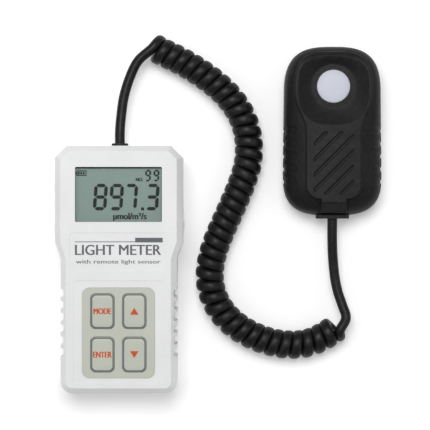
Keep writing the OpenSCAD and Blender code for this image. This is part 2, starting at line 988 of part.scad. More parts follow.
// Slot for the gland through both covers, and the flat it seats on
module gland_slot() {
  translate([0, gland_seat_y, gland_z])
    rotate([-90, 0, 0])
      translate([0, 0, -3])
        linear_extrude(9)
          rounded_rect(gland_neck_w, gland_neck_h, 3);
  translate([-gland_w / 2 - 0.2, gland_seat_y - 4, gland_z - gland_h / 2 - 0.2])
    cube([gland_w + 0.4, 4, gland_h + 0.4]);
}

module sensor_front_cover() {
  shoulder = sensor_h - sensor_parting;
  color([0.1, 0.1, 0.105])
    at_sensor()
      difference() {
        union() {
          difference() {
            union() {
              hull() {
                translate([0, 0, sensor_parting])
                  linear_extrude(shoulder * 0.25)
                    sensor_outline(0);
                translate([0, 0, sensor_parting])
                  linear_extrude(shoulder * 0.55)
                    sensor_outline(1.4);
                translate([0, 0, sensor_parting])
                  linear_extrude(shoulder * 0.8)
                    sensor_outline(4);
                translate([0, 0, sensor_parting])
                  linear_extrude(shoulder - 0.8)
                    sensor_outline(7);
              }
              translate([0, 0, sensor_parting])
                linear_extrude(shoulder)
                  intersection() {
                    pear(0);
                    sensor_outline(3.4);
                  }
            }
            translate([0, 0, sensor_parting - eps])
              linear_extrude(shoulder * 0.4)
                sensor_outline(sensor_wall);
            translate([0, 0, sensor_parting])
              linear_extrude(sensor_inner_top - sensor_parting)
                sensor_outline(sensor_wall + 3.6);
            translate([0, groove_y, sensor_parting])
              linear_extrude(shoulder - 2.4)
                square([panel_w - 4.4, groove_area_l - 8], center = true);
            scallops();
          }
          for (p = sensor_boss_xy)
            translate([p.x, p.y, 0])
              post(boss_r, sensor_parting, sensor_inner_top + 0.2);
          for (p = sensor_post_xy)
            translate([p.x, p.y, 0])
              post(post_r, sensor_board_top, sensor_inner_top + 3);
          // collar that centres the diffuser's flange
          translate([0, dish_y, 0])
            post(diffuser_flange_r + 1.4, sensor_inner_top - 2.4, sensor_inner_top + 0.2);
        }
        translate([0, dish_y, 0]) {
          translate([0, 0, dish_floor_z])
            cylinder(r1 = dish_floor_r, r2 = dish_r, h = dish_d + eps);
          translate([0, 0, sensor_h])
            cylinder(r = dish_r, h = 1);
          post(diffuser_r, sensor_inner_top - 4, sensor_h);
          post(diffuser_flange_r, sensor_inner_top - 4, sensor_inner_top);
          post(seal_out, sensor_inner_top - eps, sensor_inner_top + seal_h);
        }
        panel_grooves();
        for (p = sensor_boss_xy)
          translate([p.x, p.y, 0])
            post(screw_d / 2, sensor_parting - 1, sensor_inner_top - 1);
        for (p = sensor_post_xy)
          translate([p.x, p.y, 0])
            post(board_screw_d / 2, sensor_board_top - 1, sensor_inner_top);
        gland_slot();
      }
}

module sensor_rear_cover() {
  color([0.09, 0.09, 0.095])
    at_sensor()
      difference() {
        union() {
          difference() {
            hull() {
              linear_extrude(sensor_parting)
                sensor_outline(3);
              translate([0, 0, 2])
                linear_extrude(sensor_parting - 2)
                  sensor_outline(1);
              translate([0, 0, 5])
                linear_extrude(sensor_parting - 5)
                  sensor_outline(0);
            }
            translate([0, 0, back_t])
              linear_extrude(sensor_parting)
                sensor_outline(sensor_wall + 0.8);
            scallops();
          }
          for (p = sensor_boss_xy)
            translate([p.x, p.y, 0]) {
              post(boss_r, 1, sensor_parting);
              post(boss_foot_r, 1, seat_z + 2);
            }
        }
        for (p = sensor_boss_xy)
          translate([p.x, p.y, 0]) {
            post(screw_d / 2 + 0.3, -1, sensor_parting + 1);
            post(screw_head_d / 2 + 0.2, -1, seat_z);
          }
        gland_slot();
      }
}

// White diffuser: a disc with a low crown, and a flange under the dish floor
module diffuser() {
  rim_z = dish_floor_z + diffuser_rise;
  crown_r = (diffuser_r * diffuser_r + diffuser_crown * diffuser_crown) / (2 * diffuser_crown);
  color([0.8, 0.82, 0.87])
    at_sensor()
      translate([0, dish_y, 0]) {
        post(diffuser_flange_r, sensor_inner_top - diffuser_flange_t, sensor_inner_top);
        post(diffuser_r, sensor_inner_top - eps, rim_z);
        intersection() {
          post(diffuser_r, rim_z - 0.5, rim_z + 2);
          translate([0, 0, rim_z + diffuser_crown - crown_r])
            sphere(r = crown_r);
        }
      }
}

module diffuser_seal() {
  color([0.3, 0.12, 0.1])
    at_sensor()
      translate([0, dish_y, 0])
        difference() {
          post(seal_out, sensor_inner_top, sensor_inner_top + seal_h);
          post(diffuser_r, sensor_inner_top - 1, sensor_inner_top + seal_h + 1);
        }
}

module filter_glass() {
  color([0.4, 0.75, 0.8, 0.6])
    at_sensor()
      translate([0, dish_y, 0])
        post(filter_r, sensor_inner_top - diffuser_flange_t - filter_t - 0.1,
             sensor_inner_top - diffuser_flange_t - 0.1);
}

// Ring on the board that holds the colour filter over the photodiode
module filter_holder() {
  top = sensor_inner_top - diffuser_flange_t;
  color([0.15, 0.15, 0.15])
    at_sensor()
      translate([0, dish_y, 0])
        difference() {
          post(diffuser_flange_r - 0.1, sensor_board_top, top);
          post(filter_r, top - filter_t - 0.1, top + 1);
          post(photodiode_r + 0.1, sensor_board_top - 1, top);
        }
}

module photodiode() {
  color([0.75, 0.7, 0.5])
    at_sensor()
      translate([0, dish_y, 0]) {
        post(photodiode_r, sensor_board_top, sensor_board_top + 0.6);
        post(photodiode_r - 0.5, sensor_board_top, sensor_board_top + 2.6);
      }
}

module sensor_board() {
  color([0.1, 0.36, 0.2])
    at_sensor()
      difference() {
        translate([-sensor_board_w / 2, sensor_board_y - sensor_board_l / 2, sensor_board_z])
          cube([sensor_board_w, sensor_board_l, board_t]);
        for (p = sensor_post_xy)
          translate([p.x, p.y, 0])
            post(board_screw_d / 2 + 0.2, sensor_board_z - 1, sensor_board_top + 1);
      }
}

module sensor_chip() {
  color([0.12, 0.12, 0.13])
    at_sensor()
      translate([0, sensor_board_y - 8, sensor_board_top - board_top])
        chip(4, 5, 1.5, 4, 1.27, false);
}

module sensor_screws() {
  color([0.3, 0.3, 0.3])
    at_sensor_screws()
      screw(seat_z, screw_d / 2, sensor_inner_top - 1.5 - seat_z, screw_head_d / 2, screw_head_h);
}

module sensor_board_screws() {
  color([0.7, 0.7, 0.68])
    at_sensor()
      for (p = sensor_post_xy)
        translate([p.x, p.y, 0])
          screw(sensor_board_z, board_screw_d / 2, board_t + 3.5, 1.9, 1.4);
}

// Flat gland at the bottom end: outer plate, neck through the covers, inner plate
module sensor_gland() {
  color([0.08, 0.08, 0.085])
    translate([sensor_x, 0, gland_z])
      difference() {
        translate([0, gland_y, 0])
          rotate([-90, 0, 0]) {
            linear_extrude(gland_l)
              rounded_rect(gland_w, gland_h, 4);
            linear_extrude(gland_l + 4.4)
              rounded_rect(gland_neck_w, gland_neck_h, 3);
          }
        rod_y(cord_r, gland_y - 1, gland_y + gland_l + 6);
      }
}

module sensor_cord_tail() {
  color([0.07, 0.07, 0.075])
    translate([sensor_x, 0, gland_z])
      rod_y(cord_r, gland_y, gland_y + 14);
}

module sensor_cable_tie() {
  color([0.85, 0.85, 0.82])
    translate([sensor_x, 0, gland_z])
      cable_tie(gland_y + gland_l + 5.4);
}

module sensor_wires() {
  y1 = sensor_y + sensor_board_y - sensor_board_l / 2;
  color([0.8, 0.8, 0.2])
    for (x = [-1.6, 0, 1.6])
      wire([sensor_x + x / 2, gland_y + 14, gland_z], [sensor_x + x, y1, sensor_board_z + 0.8], 0.45);
}

// ---------- cord ----------

// Smooth curve through points: a Catmull-Rom piece between p[i] and p[i + 1]
function along(p, i, t) =
  let (
    n = len(p) - 1,
    a = p[max(i - 1, 0)], b = p[i], c = p[min(i + 1, n)], d = p[min(i + 2, n)]
  )
    0.5 * (2 * b + (c - a) * t + (2 * a - 5 * b + 4 * c - d) * t * t
           + (3 * b - a - 3 * c + d) * t * t * t);

// A list of points along the curve, with each stretch cut into steps
function curve(p, steps) = concat(
  [for (i = [0 : len(p) - 2], k = [0 : steps - 1]) along(p, i, k / steps)],
  [p[len(p) - 1]]
);

function unit(v) = v / norm(v);

// Direction of travel at point i, level and along +Y at the last point if end_y is set
function heading(c, i, start_y, end_y) =
  (i == 0 && start_y) || (i == len(c) - 1 && end_y) ? [0, 1, 0]
  : unit(c[min(i + 1, len(c) - 1)] - c[max(i - 1, 0)]);

// Closed tube of radius r along the points c
module tube(c, r, sides, start_y = false, end_y = false) {
  n = len(c);
  rings = [
    for (i = [0 : n - 1])
      let (
        h = heading(c, i, start_y, end_y),
        side = unit(cross(h, [0, 0, 1])),
        up = cross(side, h)
      )
        for (k = [0 : sides - 1])
          c[i] + r * cos(360 * k / sides) * side + r * sin(360 * k / sides) * up
  ];
  walls = [
    for (i = [0 : n - 2], k = [0 : sides - 1])
      let (j = (k + 1) % sides)
        [i * sides + k, i * sides + j, (i + 1) * sides + j, (i + 1) * sides + k]
  ];
  first = [for (k = [0 : sides - 1]) sides - 1 - k];
  last = [for (k = [0 : sides - 1]) (n - 1) * sides + k];
  polyhedron(points = rings, faces = concat([first], walls, [last]));
}

module cord_meter_lead() {
  color([0.06, 0.06, 0.065])
    tube(curve(meter_lead, 2), cord_r, lead_sides, start_y = true);
}

module cord_curl() {
  color([0.06, 0.06, 0.065])
    tube([for (p = curl_axis) [p.x, p.y, curl_r]], curl_r, curl_sides);
}

module cord_sensor_lead() {
  color([0.06, 0.06, 0.065])
    tube(curve(sensor_lead, 2), cord_r, lead_sides, end_y = true);
}

front_cover();
rear_cover();
window_pane();
lcd_glass();
lcd_frame();
lcd_contacts();
main_board();
microcontroller();
amplifier_chip();
crystal();
capacitor();
key_switches();
keypad_overlay();
key_mode();
key_up();
key_enter();
key_down();
power_switch();
power_knob();
battery();
battery_snap();
battery_leads();
battery_door();
case_screws();
board_screws();
cord_grommet();
meter_cord_tail();
meter_cable_tie();
meter_wires();
cord_socket();
sensor_front_cover();
sensor_rear_cover();
diffuser();
diffuser_seal();
filter_glass();
filter_holder();
photodiode();
sensor_board();
sensor_chip();
sensor_screws();
sensor_board_screws();
sensor_gland();
sensor_cord_tail();
sensor_cable_tie();
sensor_wires();
cord_meter_lead();
cord_curl();
cord_sensor_lead();
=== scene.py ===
import json
import math

import bmesh
import bpy
import numpy as np
from bpy.props import FloatProperty, FloatVectorProperty, IntProperty, PointerProperty
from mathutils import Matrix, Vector

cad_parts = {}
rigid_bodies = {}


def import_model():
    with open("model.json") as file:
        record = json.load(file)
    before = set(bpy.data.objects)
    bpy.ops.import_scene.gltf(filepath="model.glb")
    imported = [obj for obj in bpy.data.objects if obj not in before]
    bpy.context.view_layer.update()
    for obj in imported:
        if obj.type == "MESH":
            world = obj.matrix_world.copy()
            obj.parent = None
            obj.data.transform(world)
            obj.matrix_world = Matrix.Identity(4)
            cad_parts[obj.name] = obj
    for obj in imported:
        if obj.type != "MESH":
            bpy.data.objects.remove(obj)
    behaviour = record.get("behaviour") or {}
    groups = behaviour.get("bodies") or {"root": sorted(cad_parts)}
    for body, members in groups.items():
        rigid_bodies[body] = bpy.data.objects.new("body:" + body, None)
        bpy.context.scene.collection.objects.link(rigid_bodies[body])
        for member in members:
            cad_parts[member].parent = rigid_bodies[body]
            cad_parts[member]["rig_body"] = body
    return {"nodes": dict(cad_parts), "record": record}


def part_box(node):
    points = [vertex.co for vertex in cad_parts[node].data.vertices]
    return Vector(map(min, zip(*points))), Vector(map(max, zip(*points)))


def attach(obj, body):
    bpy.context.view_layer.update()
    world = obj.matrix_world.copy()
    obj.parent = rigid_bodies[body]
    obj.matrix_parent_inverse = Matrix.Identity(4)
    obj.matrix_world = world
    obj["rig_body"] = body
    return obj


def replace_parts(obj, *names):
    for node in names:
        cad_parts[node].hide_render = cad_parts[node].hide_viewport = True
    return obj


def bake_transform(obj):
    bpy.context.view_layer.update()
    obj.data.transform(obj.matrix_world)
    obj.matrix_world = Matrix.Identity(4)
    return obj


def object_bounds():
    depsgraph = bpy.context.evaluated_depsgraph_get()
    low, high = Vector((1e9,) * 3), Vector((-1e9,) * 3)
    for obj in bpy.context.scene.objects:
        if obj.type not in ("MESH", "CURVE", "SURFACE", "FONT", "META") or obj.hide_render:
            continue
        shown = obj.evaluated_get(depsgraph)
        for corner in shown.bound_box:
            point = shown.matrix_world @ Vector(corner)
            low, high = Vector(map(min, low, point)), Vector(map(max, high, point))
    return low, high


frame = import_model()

bl_info = {
    "name": "Light Meter with Remote Sensor",
    "version": (1, 0, 0),
    "blender": (4, 5, 0),
    "location": "3D View > Sidebar > Light Meter",
    "description": "Shells, keypad, display, sensor head and curly cord of a hand-held light meter",
    "category": "Object",
}

MM = 0.001
LOADED_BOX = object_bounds()
NODE_SLOTS = {s["node"]: s["material_slot"] for s in frame["record"]["subparts"]}
CASE_PARTING = 14.0 * MM                 # height of the joint between the front and back covers


# ---------------------------------------------------------------- grids and meshes

def centre_of(node):
    """Middle of a CAD node's box, in metres."""
    low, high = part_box(node)
    return (low + high) / 2


def smooth_step(t):
    """0 below 0, 1 above 1, and 3t^2 - 2t^3 in between."""
    t = np.clip(t, 0.0, 1.0)
    return t * t * (3 - 2 * t)


def grid_faces(rows, columns, wrap_columns=False, flip=False):
    """Quads between neighbouring points of a grid that is stored row by row."""
    i, j = np.meshgrid(np.arange(rows - 1), np.arange(columns - (not wrap_columns)), indexing="ij")
    after = (j + 1) % columns
    quads = np.stack([i * columns + j, i * columns + after,
                      (i + 1) * columns + after, (i + 1) * columns + j], -1).reshape(-1, 4)
    return quads[:, ::-1] if flip else quads


def closed_faces(rows, columns):
    """Faces of a stack of closed rings with a flat cap at each end, as lists of point numbers."""
    faces = [list(f) for f in grid_faces(rows, columns, wrap_columns=True)]
    return [*faces, list(range(columns))[::-1], list(range((rows - 1) * columns, rows * columns))]


def make_object(name, points, faces, material, sharp_deg=40.0):
    """A smooth-shaded mesh object from points in metres and faces, with edges past an angle kept sharp."""
    mesh = bpy.data.meshes.new(name)
    mesh.from_pydata(np.asarray(points, float).reshape(-1, 3).tolist(), [], [list(f) for f in faces])
    mesh.shade_smooth()
    mesh.set_sharp_from_angle(angle=math.radians(sharp_deg))
    mesh.materials.append(material)
    obj = bpy.data.objects.new(name, mesh)
    bpy.context.scene.collection.objects.link(obj)
    return obj


def ride(obj, body):
    """Lets a finished piece move with a CAD body."""
    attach(obj, body)
    return obj


def loft(name, loops, material, sharp_deg=40.0):
    """Closed solid through a stack of loops of equal point count, lowest first, capped at both ends."""
    loops = np.asarray(loops, float)
    return make_object(name, loops, closed_faces(*loops.shape[:2]), material, sharp_deg)


def rounded_loop(width, length, radius, steps=7):
    """Counter-clockwise rectangle outline with each corner a quarter circle of that radius."""
    turn = np.linspace(0, math.pi / 2, steps)
    corners = []
    for quarter, (sx, sy) in enumerate([(1, 1), (-1, 1), (-1, -1), (1, -1)]):
        angle = turn + quarter * math.pi / 2
        corners.append(np.stack([sx * (width / 2 - radius) + radius * np.cos(angle),
                                 sy * (length / 2 - radius) + radius * np.sin(angle)], -1))
    return np.concatenate(corners)


def at_height(loop, z):
    """A flat loop lifted to a height, or to one height for each of its points."""
    return np.column_stack([loop, np.broadcast_to(z, len(loop))])


def softened_copy(node, name, material, width):
    """Copy of a CAD node with its loose triangles merged, flat areas made whole and edges past 28 degrees
    rounded to a radius."""
    angle = math.radians(28.0)
    mesh = frame["nodes"][node].data.copy()
    mesh.name = name
    work = bmesh.new()
    work.from_mesh(mesh)
    bmesh.ops.remove_doubles(work, verts=work.verts, dist=2e-6)
    bmesh.ops.dissolve_limit(work, angle_limit=math.radians(0.6), verts=work.verts, edges=work.edges)
    work.to_mesh(mesh)
    work.free()
    mesh.shade_smooth()
    mesh.set_sharp_from_angle(angle=angle)
    mesh.materials.clear()
    mesh.materials.append(material)
    obj = bpy.data.objects.new(name, mesh)
    bpy.context.scene.collection.objects.link(obj)
    bevel = obj.modifiers.new("edge rounding", "BEVEL")
    bevel.width = width
    bevel.segments = 2
    bevel.limit_method = "ANGLE"
    bevel.angle_limit = angle
    bevel.use_clamp_overlap = True
    flat = obj.modifiers.new("flat faces", "WEIGHTED_NORMAL")
    flat.keep_sharp = True
    flat.weight = 100
    ride(obj, frame["nodes"][node]["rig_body"])
    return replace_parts(obj, node)


# ---------------------------------------------------------------- shared shader groups

def make_group(name, inputs, outputs):
    """An empty shader group with named inputs (name, kind, default) and outputs (name, kind)."""
    group = bpy.data.node_groups.new(name, "ShaderNodeTree")
    for label, kind, default in inputs:
        socket = group.interface.new_socket(label, in_out="INPUT", socket_type=kind)
        socket.default_value = default
    for label, kind in outputs:
        group.interface.new_socket(label, in_out="OUTPUT", socket_type=kind)
    return group, group.nodes.new("NodeGroupInput"), group.nodes.new("NodeGroupOutput")


def math_node(tree, operation, first, second=None):
    """A Math node whose inputs are sockets or plain numbers."""
    node = tree.nodes.new("ShaderNodeMath")
    node.operation = operation
    for k, value in enumerate(v for v in (first, second) if v is not None):
        if isinstance(value, bpy.types.NodeSocket):
            tree.links.new(value, node.inputs[k])
        else:
            node.inputs[k].default_value = value
    return node.outputs[0]


def noise(tree, vector, scale, detail=3.0, roughness=0.55):
    """Noise value from 0 to 1 at a scale that is a number or a socket."""
    node = tree.nodes.new("ShaderNodeTexNoise")
    node.inputs["Detail"].default_value = detail
    node.inputs["Roughness"].default_value = roughness
    tree.links.new(vector, node.inputs["Vector"])
    if isinstance(scale, bpy.types.NodeSocket):
        tree.links.new(scale, node.inputs["Scale"])
    else:
        node.inputs["Scale"].default_value = scale
    return node.outputs["Fac"]


def map_range(tree, value, low, high, to_low, to_high):
    """Value carried from one range to another, and held at its ends."""
    node = tree.nodes.new("ShaderNodeMapRange")
    node.inputs["From Min"].default_value = low
    node.inputs["From Max"].default_value = high
    node.inputs["To Min"].default_value = to_low
    node.inputs["To Max"].default_value = to_high
    tree.links.new(value, node.inputs["Value"])
    return node.outputs["Result"]


def grain_group():
    """Spark-eroded mould grain: fine height, a slow cloud of tone, and specks where the grain peaks."""
    group, into, out = make_group(
        "Mould Grain",
        [("Vector", "NodeSocketVector", (0, 0, 0)), ("Grains per Metre", "NodeSocketFloat", 2500.0)],
        [("Height", "NodeSocketFloat"), ("Cloud", "NodeSocketFloat"), ("Specks", "NodeSocketFloat")],
    )
    fine = noise(group, into.outputs["Vector"], into.outputs["Grains per Metre"], 2.0)
    cells = group.nodes.new("ShaderNodeTexVoronoi")
    cells.feature = "SMOOTH_F1"
    group.links.new(into.outputs["Vector"], cells.inputs["Vector"])
    group.links.new(into.outputs["Grains per Metre"], cells.inputs["Scale"])
    height = math_node(group, "ADD", fine, math_node(group, "MULTIPLY", cells.outputs["Distance"], 0.6))
    group.links.new(height, out.inputs["Height"])
    group.links.new(noise(group, into.outputs["Vector"], 55.0, 4.0), out.inputs["Cloud"])
    group.links.new(map_range(group, fine, 0.62, 0.78, 0.0, 1.0), out.inputs["Specks"])
    return group


def wear_group():
    """Worn edges: where the surface is convex, broken up by noise."""
    group, into, out = make_group(
        "Edge Wear",
        [("Vector", "NodeSocketVector", (0, 0, 0)), ("Start", "NodeSocketFloat", 0.53)],
        [("Mask", "NodeSocketFloat")],
    )
    geometry = group.nodes.new("ShaderNodeNewGeometry")
    over = math_node(group, "SUBTRACT", geometry.outputs["Pointiness"], into.outputs["Start"])
    edge = map_range(group, over, 0.0, 0.08, 0.0, 1.0)
    broken = map_range(group, noise(group, into.outputs["Vector"], 900.0, 5.0), 0.35, 0.65, 0.0, 1.0)
    group.links.new(math_node(group, "MULTIPLY", edge, broken), out.inputs["Mask"])
    return group


def dust_group():
    """Settled dust: patches of noise on what faces up."""
    group, into, out = make_group(
        "Settled Dust",
        [("Vector", "NodeSocketVector", (0, 0, 0)), ("Amount", "NodeSocketFloat", 0.2)],
        [("Mask", "NodeSocketFloat")],
    )
    geometry = group.nodes.new("ShaderNodeNewGeometry")
    split = group.nodes.new("ShaderNodeSeparateXYZ")
    group.links.new(geometry.outputs["Normal"], split.inputs["Vector"])
    up = math_node(group, "POWER", math_node(group, "MAXIMUM", split.outputs["Z"], 0.0), 3.0)
    patches = map_range(group, noise(group, into.outputs["Vector"], 420.0, 6.0, 0.7), 0.45, 0.75, 0.0, 1.0)
    mask = math_node(group, "MULTIPLY", math_node(group, "MULTIPLY", up, patches), into.outputs["Amount"])
    group.links.new(mask, out.inputs["Mask"])
    return group


GROUPS = {}


def shared_group(key):
    """One of the shared groups, built the first time that a material asks for it."""
    if key not in GROUPS:
        GROUPS[key] = {"grain": grain_group, "wear": wear_group, "dust": dust_group}[key]()
    return GROUPS[key]


class Finish:
    """A material being put together: its tree, its Principled shader and the Object coordinates it reads."""

    def __init__(self, name, colour, roughness, metallic=0.0, specular=0.5):
        self.material = bpy.data.materials.new(name)
        self.material.use_nodes = True
        self.tree = self.material.node_tree
        self.shader = self.tree.nodes["Principled BSDF"]
        self.coordinates = self.tree.nodes.new("ShaderNodeTexCoord").outputs["Object"]
        self.colour = colour
        self.set("Base Color", (*colour, 1.0))
        self.set("Roughness", roughness)
        self.set("Metallic", metallic)
        self.set("Specular IOR Level", specular)
        self.tint = None

    def set(self, socket, value):
        """Puts a uniform value on the shader's own socket."""
        self.shader.inputs[socket].default_value = value
        return self

    def link(self, output, socket):
        """Joins an output to one of the shader's sockets."""
        self.tree.links.new(output, self.shader.inputs[socket])
        return self

    def group(self, key, **values):
        """Places a shared group with its own values, reading the material's coordinates."""
        node = self.tree.nodes.new("ShaderNodeGroup")
        node.node_tree = shared_group(key)
        self.tree.links.new(self.coordinates, node.inputs["Vector"])
        for label, value in values.items():
            node.inputs[label.replace("_", " ")].default_value = value
        return node

    def grain(self, grains):
        """Places the mould grain at so many grains per metre."""
        return self.group("grain", **{"Grains per Metre": grains})

    def separated(self):
        """The material's coordinates as X, Y and Z."""
        node = self.tree.nodes.new("ShaderNodeSeparateXYZ")
        self.tree.links.new(self.coordinates, node.inputs["Vector"])
        return node.outputs

    def mapped(self, value, low, high, to_low, to_high):
        return map_range(self.tree, value, low, high, to_low, to_high)

    def math(self, operation, first, second=None):
        return math_node(self.tree, operation, first, second)

    def noise(self, scale, detail=3.0):
        return noise(self.tree, self.coordinates, scale, detail)

    def mix_colour(self, mask, colour):
        """Lays a second colour over what the base colour is so far, where the mask is 1."""
        node = self.tree.nodes.new("ShaderNodeMix")
        node.data_type = "RGBA"
        self.tree.links.new(mask, node.inputs[0])
        if self.tint is None:
            node.inputs[6].default_value = (*self.colour, 1.0)
        else:
            self.tree.links.new(self.tint, node.inputs[6])
        node.inputs[7].default_value = (*colour, 1.0)
        self.tint = node.outputs[2]
        return self.link(self.tint, "Base Color")

    def bump(self, height, distance, strength=1.0):
        """Bends the shader's normal by a height map, whose 1 stands for a distance in metres."""
        node = self.tree.nodes.new("ShaderNodeBump")
        node.inputs["Distance"].default_value = distance
        node.inputs["Strength"].default_value = strength
        self.tree.links.new(height, node.inputs["Height"])
        return self.link(node.outputs["Normal"], "Normal")

    def vary_roughness(self, value, low, high):
        """Roughness that follows a value between two limits."""
        return self.link(self.mapped(value, 0.3, 0.7, low, high), "Roughness")


def shade(colour, factor):
    """A colour made lighter or darker by a factor."""
    return tuple(min(1.0, c * factor) for c in colour)


def moulded(name, colour, roughness, grains=2500.0, depth=0.00002, worn=0.0, dusty=0.0, specular=0.45,
            seam=None):
    """Moulded plastic or rubber: grain, a slow drift of tone, and a little wear and dust if asked. A seam is
    the height of the parting line between two covers, drawn as a thin dark line round the walls."""
    finish = Finish(name, colour, roughness, specular=specular)
    grain = finish.grain(grains)
    finish.mix_colour(finish.mapped(grain.outputs["Cloud"], 0.35, 0.65, 0.0, 0.5), shade(colour, 0.93))
    finish.mix_colour(finish.math("MULTIPLY", grain.outputs["Specks"], 0.35), shade(colour, 1.12))
    finish.vary_roughness(grain.outputs["Cloud"], roughness - 0.04, roughness + 0.05)
    if worn > 0:
        mask = finish.math("MULTIPLY", finish.group("wear").outputs["Mask"], worn)
        finish.mix_colour(mask, tuple(0.5 * c + 0.12 for c in colour))
    if dusty > 0:
        finish.mix_colour(finish.group("dust", Amount=dusty).outputs["Mask"], (0.42, 0.41, 0.39))
    if seam is not None:
        finish.mix_colour(parting_mask(finish, seam), shade(colour, 0.25))
    finish.bump(grain.outputs["Height"], depth)
    return finish.material


def parting_mask(finish, height):
    """1 within 0.12 mm of a height, fading to 0 at 0.22 mm from it."""
    off = finish.math("ABSOLUTE", finish.math("SUBTRACT", finish.separated()["Z"], height))
    return finish.mapped(off, 0.12 * MM, 0.22 * MM, 1.0, 0.0)


def metal(name, colour, roughness, grains=1800.0):
    """Bare or plated metal with fine tooling and a patchy shine."""
    finish = Finish(name, colour, roughness, metallic=1.0)
    grain = finish.grain(grains)
    finish.mix_colour(finish.mapped(grain.outputs["Cloud"], 0.3, 0.7, 0.0, 0.6), shade(colour, 0.78))
    finish.vary_roughness(grain.outputs["Cloud"], roughness * 0.7, roughness * 1.4)
    finish.bump(grain.outputs["Height"], 0.00001)
    return finish.material


def circuit_board(name, colour):
    """Green laminate: a glass weave under the lacquer and lighter copper pads in rows."""
    finish = Finish(name, colour, 0.32)
    grain = finish.grain(1500.0)
    bricks = finish.tree.nodes.new("ShaderNodeTexBrick")
    bricks.inputs["Scale"].default_value = 260.0
    bricks.inputs["Mortar Size"].default_value = 0.06
    finish.tree.links.new(finish.coordinates, bricks.inputs["Vector"])
    finish.mix_colour(finish.mapped(bricks.outputs["Fac"], 0.0, 1.0, 0.0, 0.55), shade(colour, 1.9))
    finish.mix_colour(finish.mapped(grain.outputs["Cloud"], 0.3, 0.7, 0.0, 0.5), shade(colour, 0.6))
    finish.bump(grain.outputs["Height"], 0.00002)
    return finish.material


def clear_pane(name):
    """Clear acrylic: almost fully see-through, with a sharp gloss and faint haze."""
    finish = Finish(name, (0.80, 0.86, 0.84), 0.04)
    haze = finish.noise(140.0, 4.0)
    finish.link(finish.mapped(haze, 0.3, 0.7, 0.008, 0.018), "Alpha")
    finish.vary_roughness(haze, 0.03, 0.07)
    finish.material.surface_render_method = "BLENDED"
    return finish.material


def display_film(name, colour):
    """Reflective display film: fine cross-hatched fleece, and painted light that makes it lighter towards the
    top of the glass.
    """
    finish = Finish(name, colour, 0.5, specular=0.3)
    low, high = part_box("lcd_glass")
    # painted light: the film is lightened towards the top of the glass, where the key light falls
    rise = finish.mapped(finish.separated()["Y"], low.y, high.y, 0.0, 0.55)
    finish.mix_colour(rise, shade(colour, 1.16))
    fleece = finish.noise(3800.0, 2.0)
    finish.mix_colour(finish.mapped(fleece, 0.35, 0.65, 0.0, 0.3), shade(colour, 0.85))
    finish.bump(fleece, 0.00001, 0.5)
    return finish.material


def opal(name, colour):
    """Opal diffuser: light scatters in it, matte, with painted shade that makes it a touch darker at the rim.
    """
    finish = Finish(name, colour, 0.48, specular=0.35)
    finish.set("Subsurface Weight", 0.35)
    finish.set("Subsurface Radius", (0.004, 0.004, 0.0045))
    finish.set("Subsurface Scale", 0.6)
    grain = finish.grain(3500.0)
    middle = centre_of("diffuser")
    away = finish.tree.nodes.new("ShaderNodeVectorMath")
    away.operation = "DISTANCE"
    finish.tree.links.new(finish.coordinates, away.inputs[0])
    away.inputs[1].default_value = (middle.x, middle.y, middle.z)
    # painted shade: the disc is darkened over its outer few millimetres, towards the rim
    rim = finish.mapped(away.outputs["Value"], 0.0055, 0.0087, 0.0, 0.5)
    finish.mix_colour(rim, shade(colour, 0.84))
    finish.mix_colour(finish.mapped(grain.outputs["Specks"], 0.0, 1.0, 0.0, 0.12), shade(colour, 0.9))
    finish.bump(grain.outputs["Height"], 0.000015)
    return finish.material


def cord_sheath(name, colour):
    """Satin soft sheath: faint draw lines along the strand, read from the cord's own UV map."""
    finish = Finish(name, colour, 0.42, specular=0.24)
    uv = finish.tree.nodes.new("ShaderNodeUVMap")
    uv.uv_map = "strand"
    spread = finish.tree.nodes.new("ShaderNodeMapping")
    spread.inputs["Scale"].default_value = (26.0, 60.0, 1.0)
    finish.tree.links.new(uv.outputs["UV"], spread.inputs["Vector"])
    lines = noise(finish.tree, spread.outputs["Vector"], 1.0, 3.0)
    cloud = finish.grain(3000.0)
    finish.mix_colour(finish.mapped(lines, 0.35, 0.65, 0.0, 0.6), shade(colour, 1.5))
    finish.mix_colour(finish.group("dust", Amount=0.05).outputs["Mask"], (0.35, 0.35, 0.35))
    finish.vary_roughness(cloud.outputs["Cloud"], 0.36, 0.48)
    finish.bump(lines, 0.00002, 0.6)
    return finish.material


def print_and_painted_shadow_ink(name, colour, specular=0.3):
    """Screen-printed ink, also used for a painted shadow: matte, a little uneven in cover."""
    finish = Finish(name, colour, 0.55, specular=specular)
    cover = finish.noise(2600.0, 3.0)
    finish.mix_colour(finish.mapped(cover, 0.4, 0.7, 0.0, 0.4), shade(colour, 1.25))
    finish.bump(cover, 0.000005)
    return finish.material


def floor_finish(name, colour, glow):
    """Seamless pale sheet lit from behind by a glow: very faint cloud and tooth."""
    finish = Finish(name, colour, 0.9, specular=0.1)
    finish.set("Emission Color", (1.0, 1.0, 1.0, 1.0)).set("Emission Strength", glow)
    cloud = finish.noise(6.0, 3.0)
    finish.mix_colour(finish.mapped(cloud, 0.3, 0.7, 0.0, 0.4), shade(colour, 0.985))
    finish.bump(finish.noise(900.0, 2.0), 0.00002, 0.3)
    return finish.material


# ---------------------------------------------------------------- the finishes of this meter

FINISHES = {}


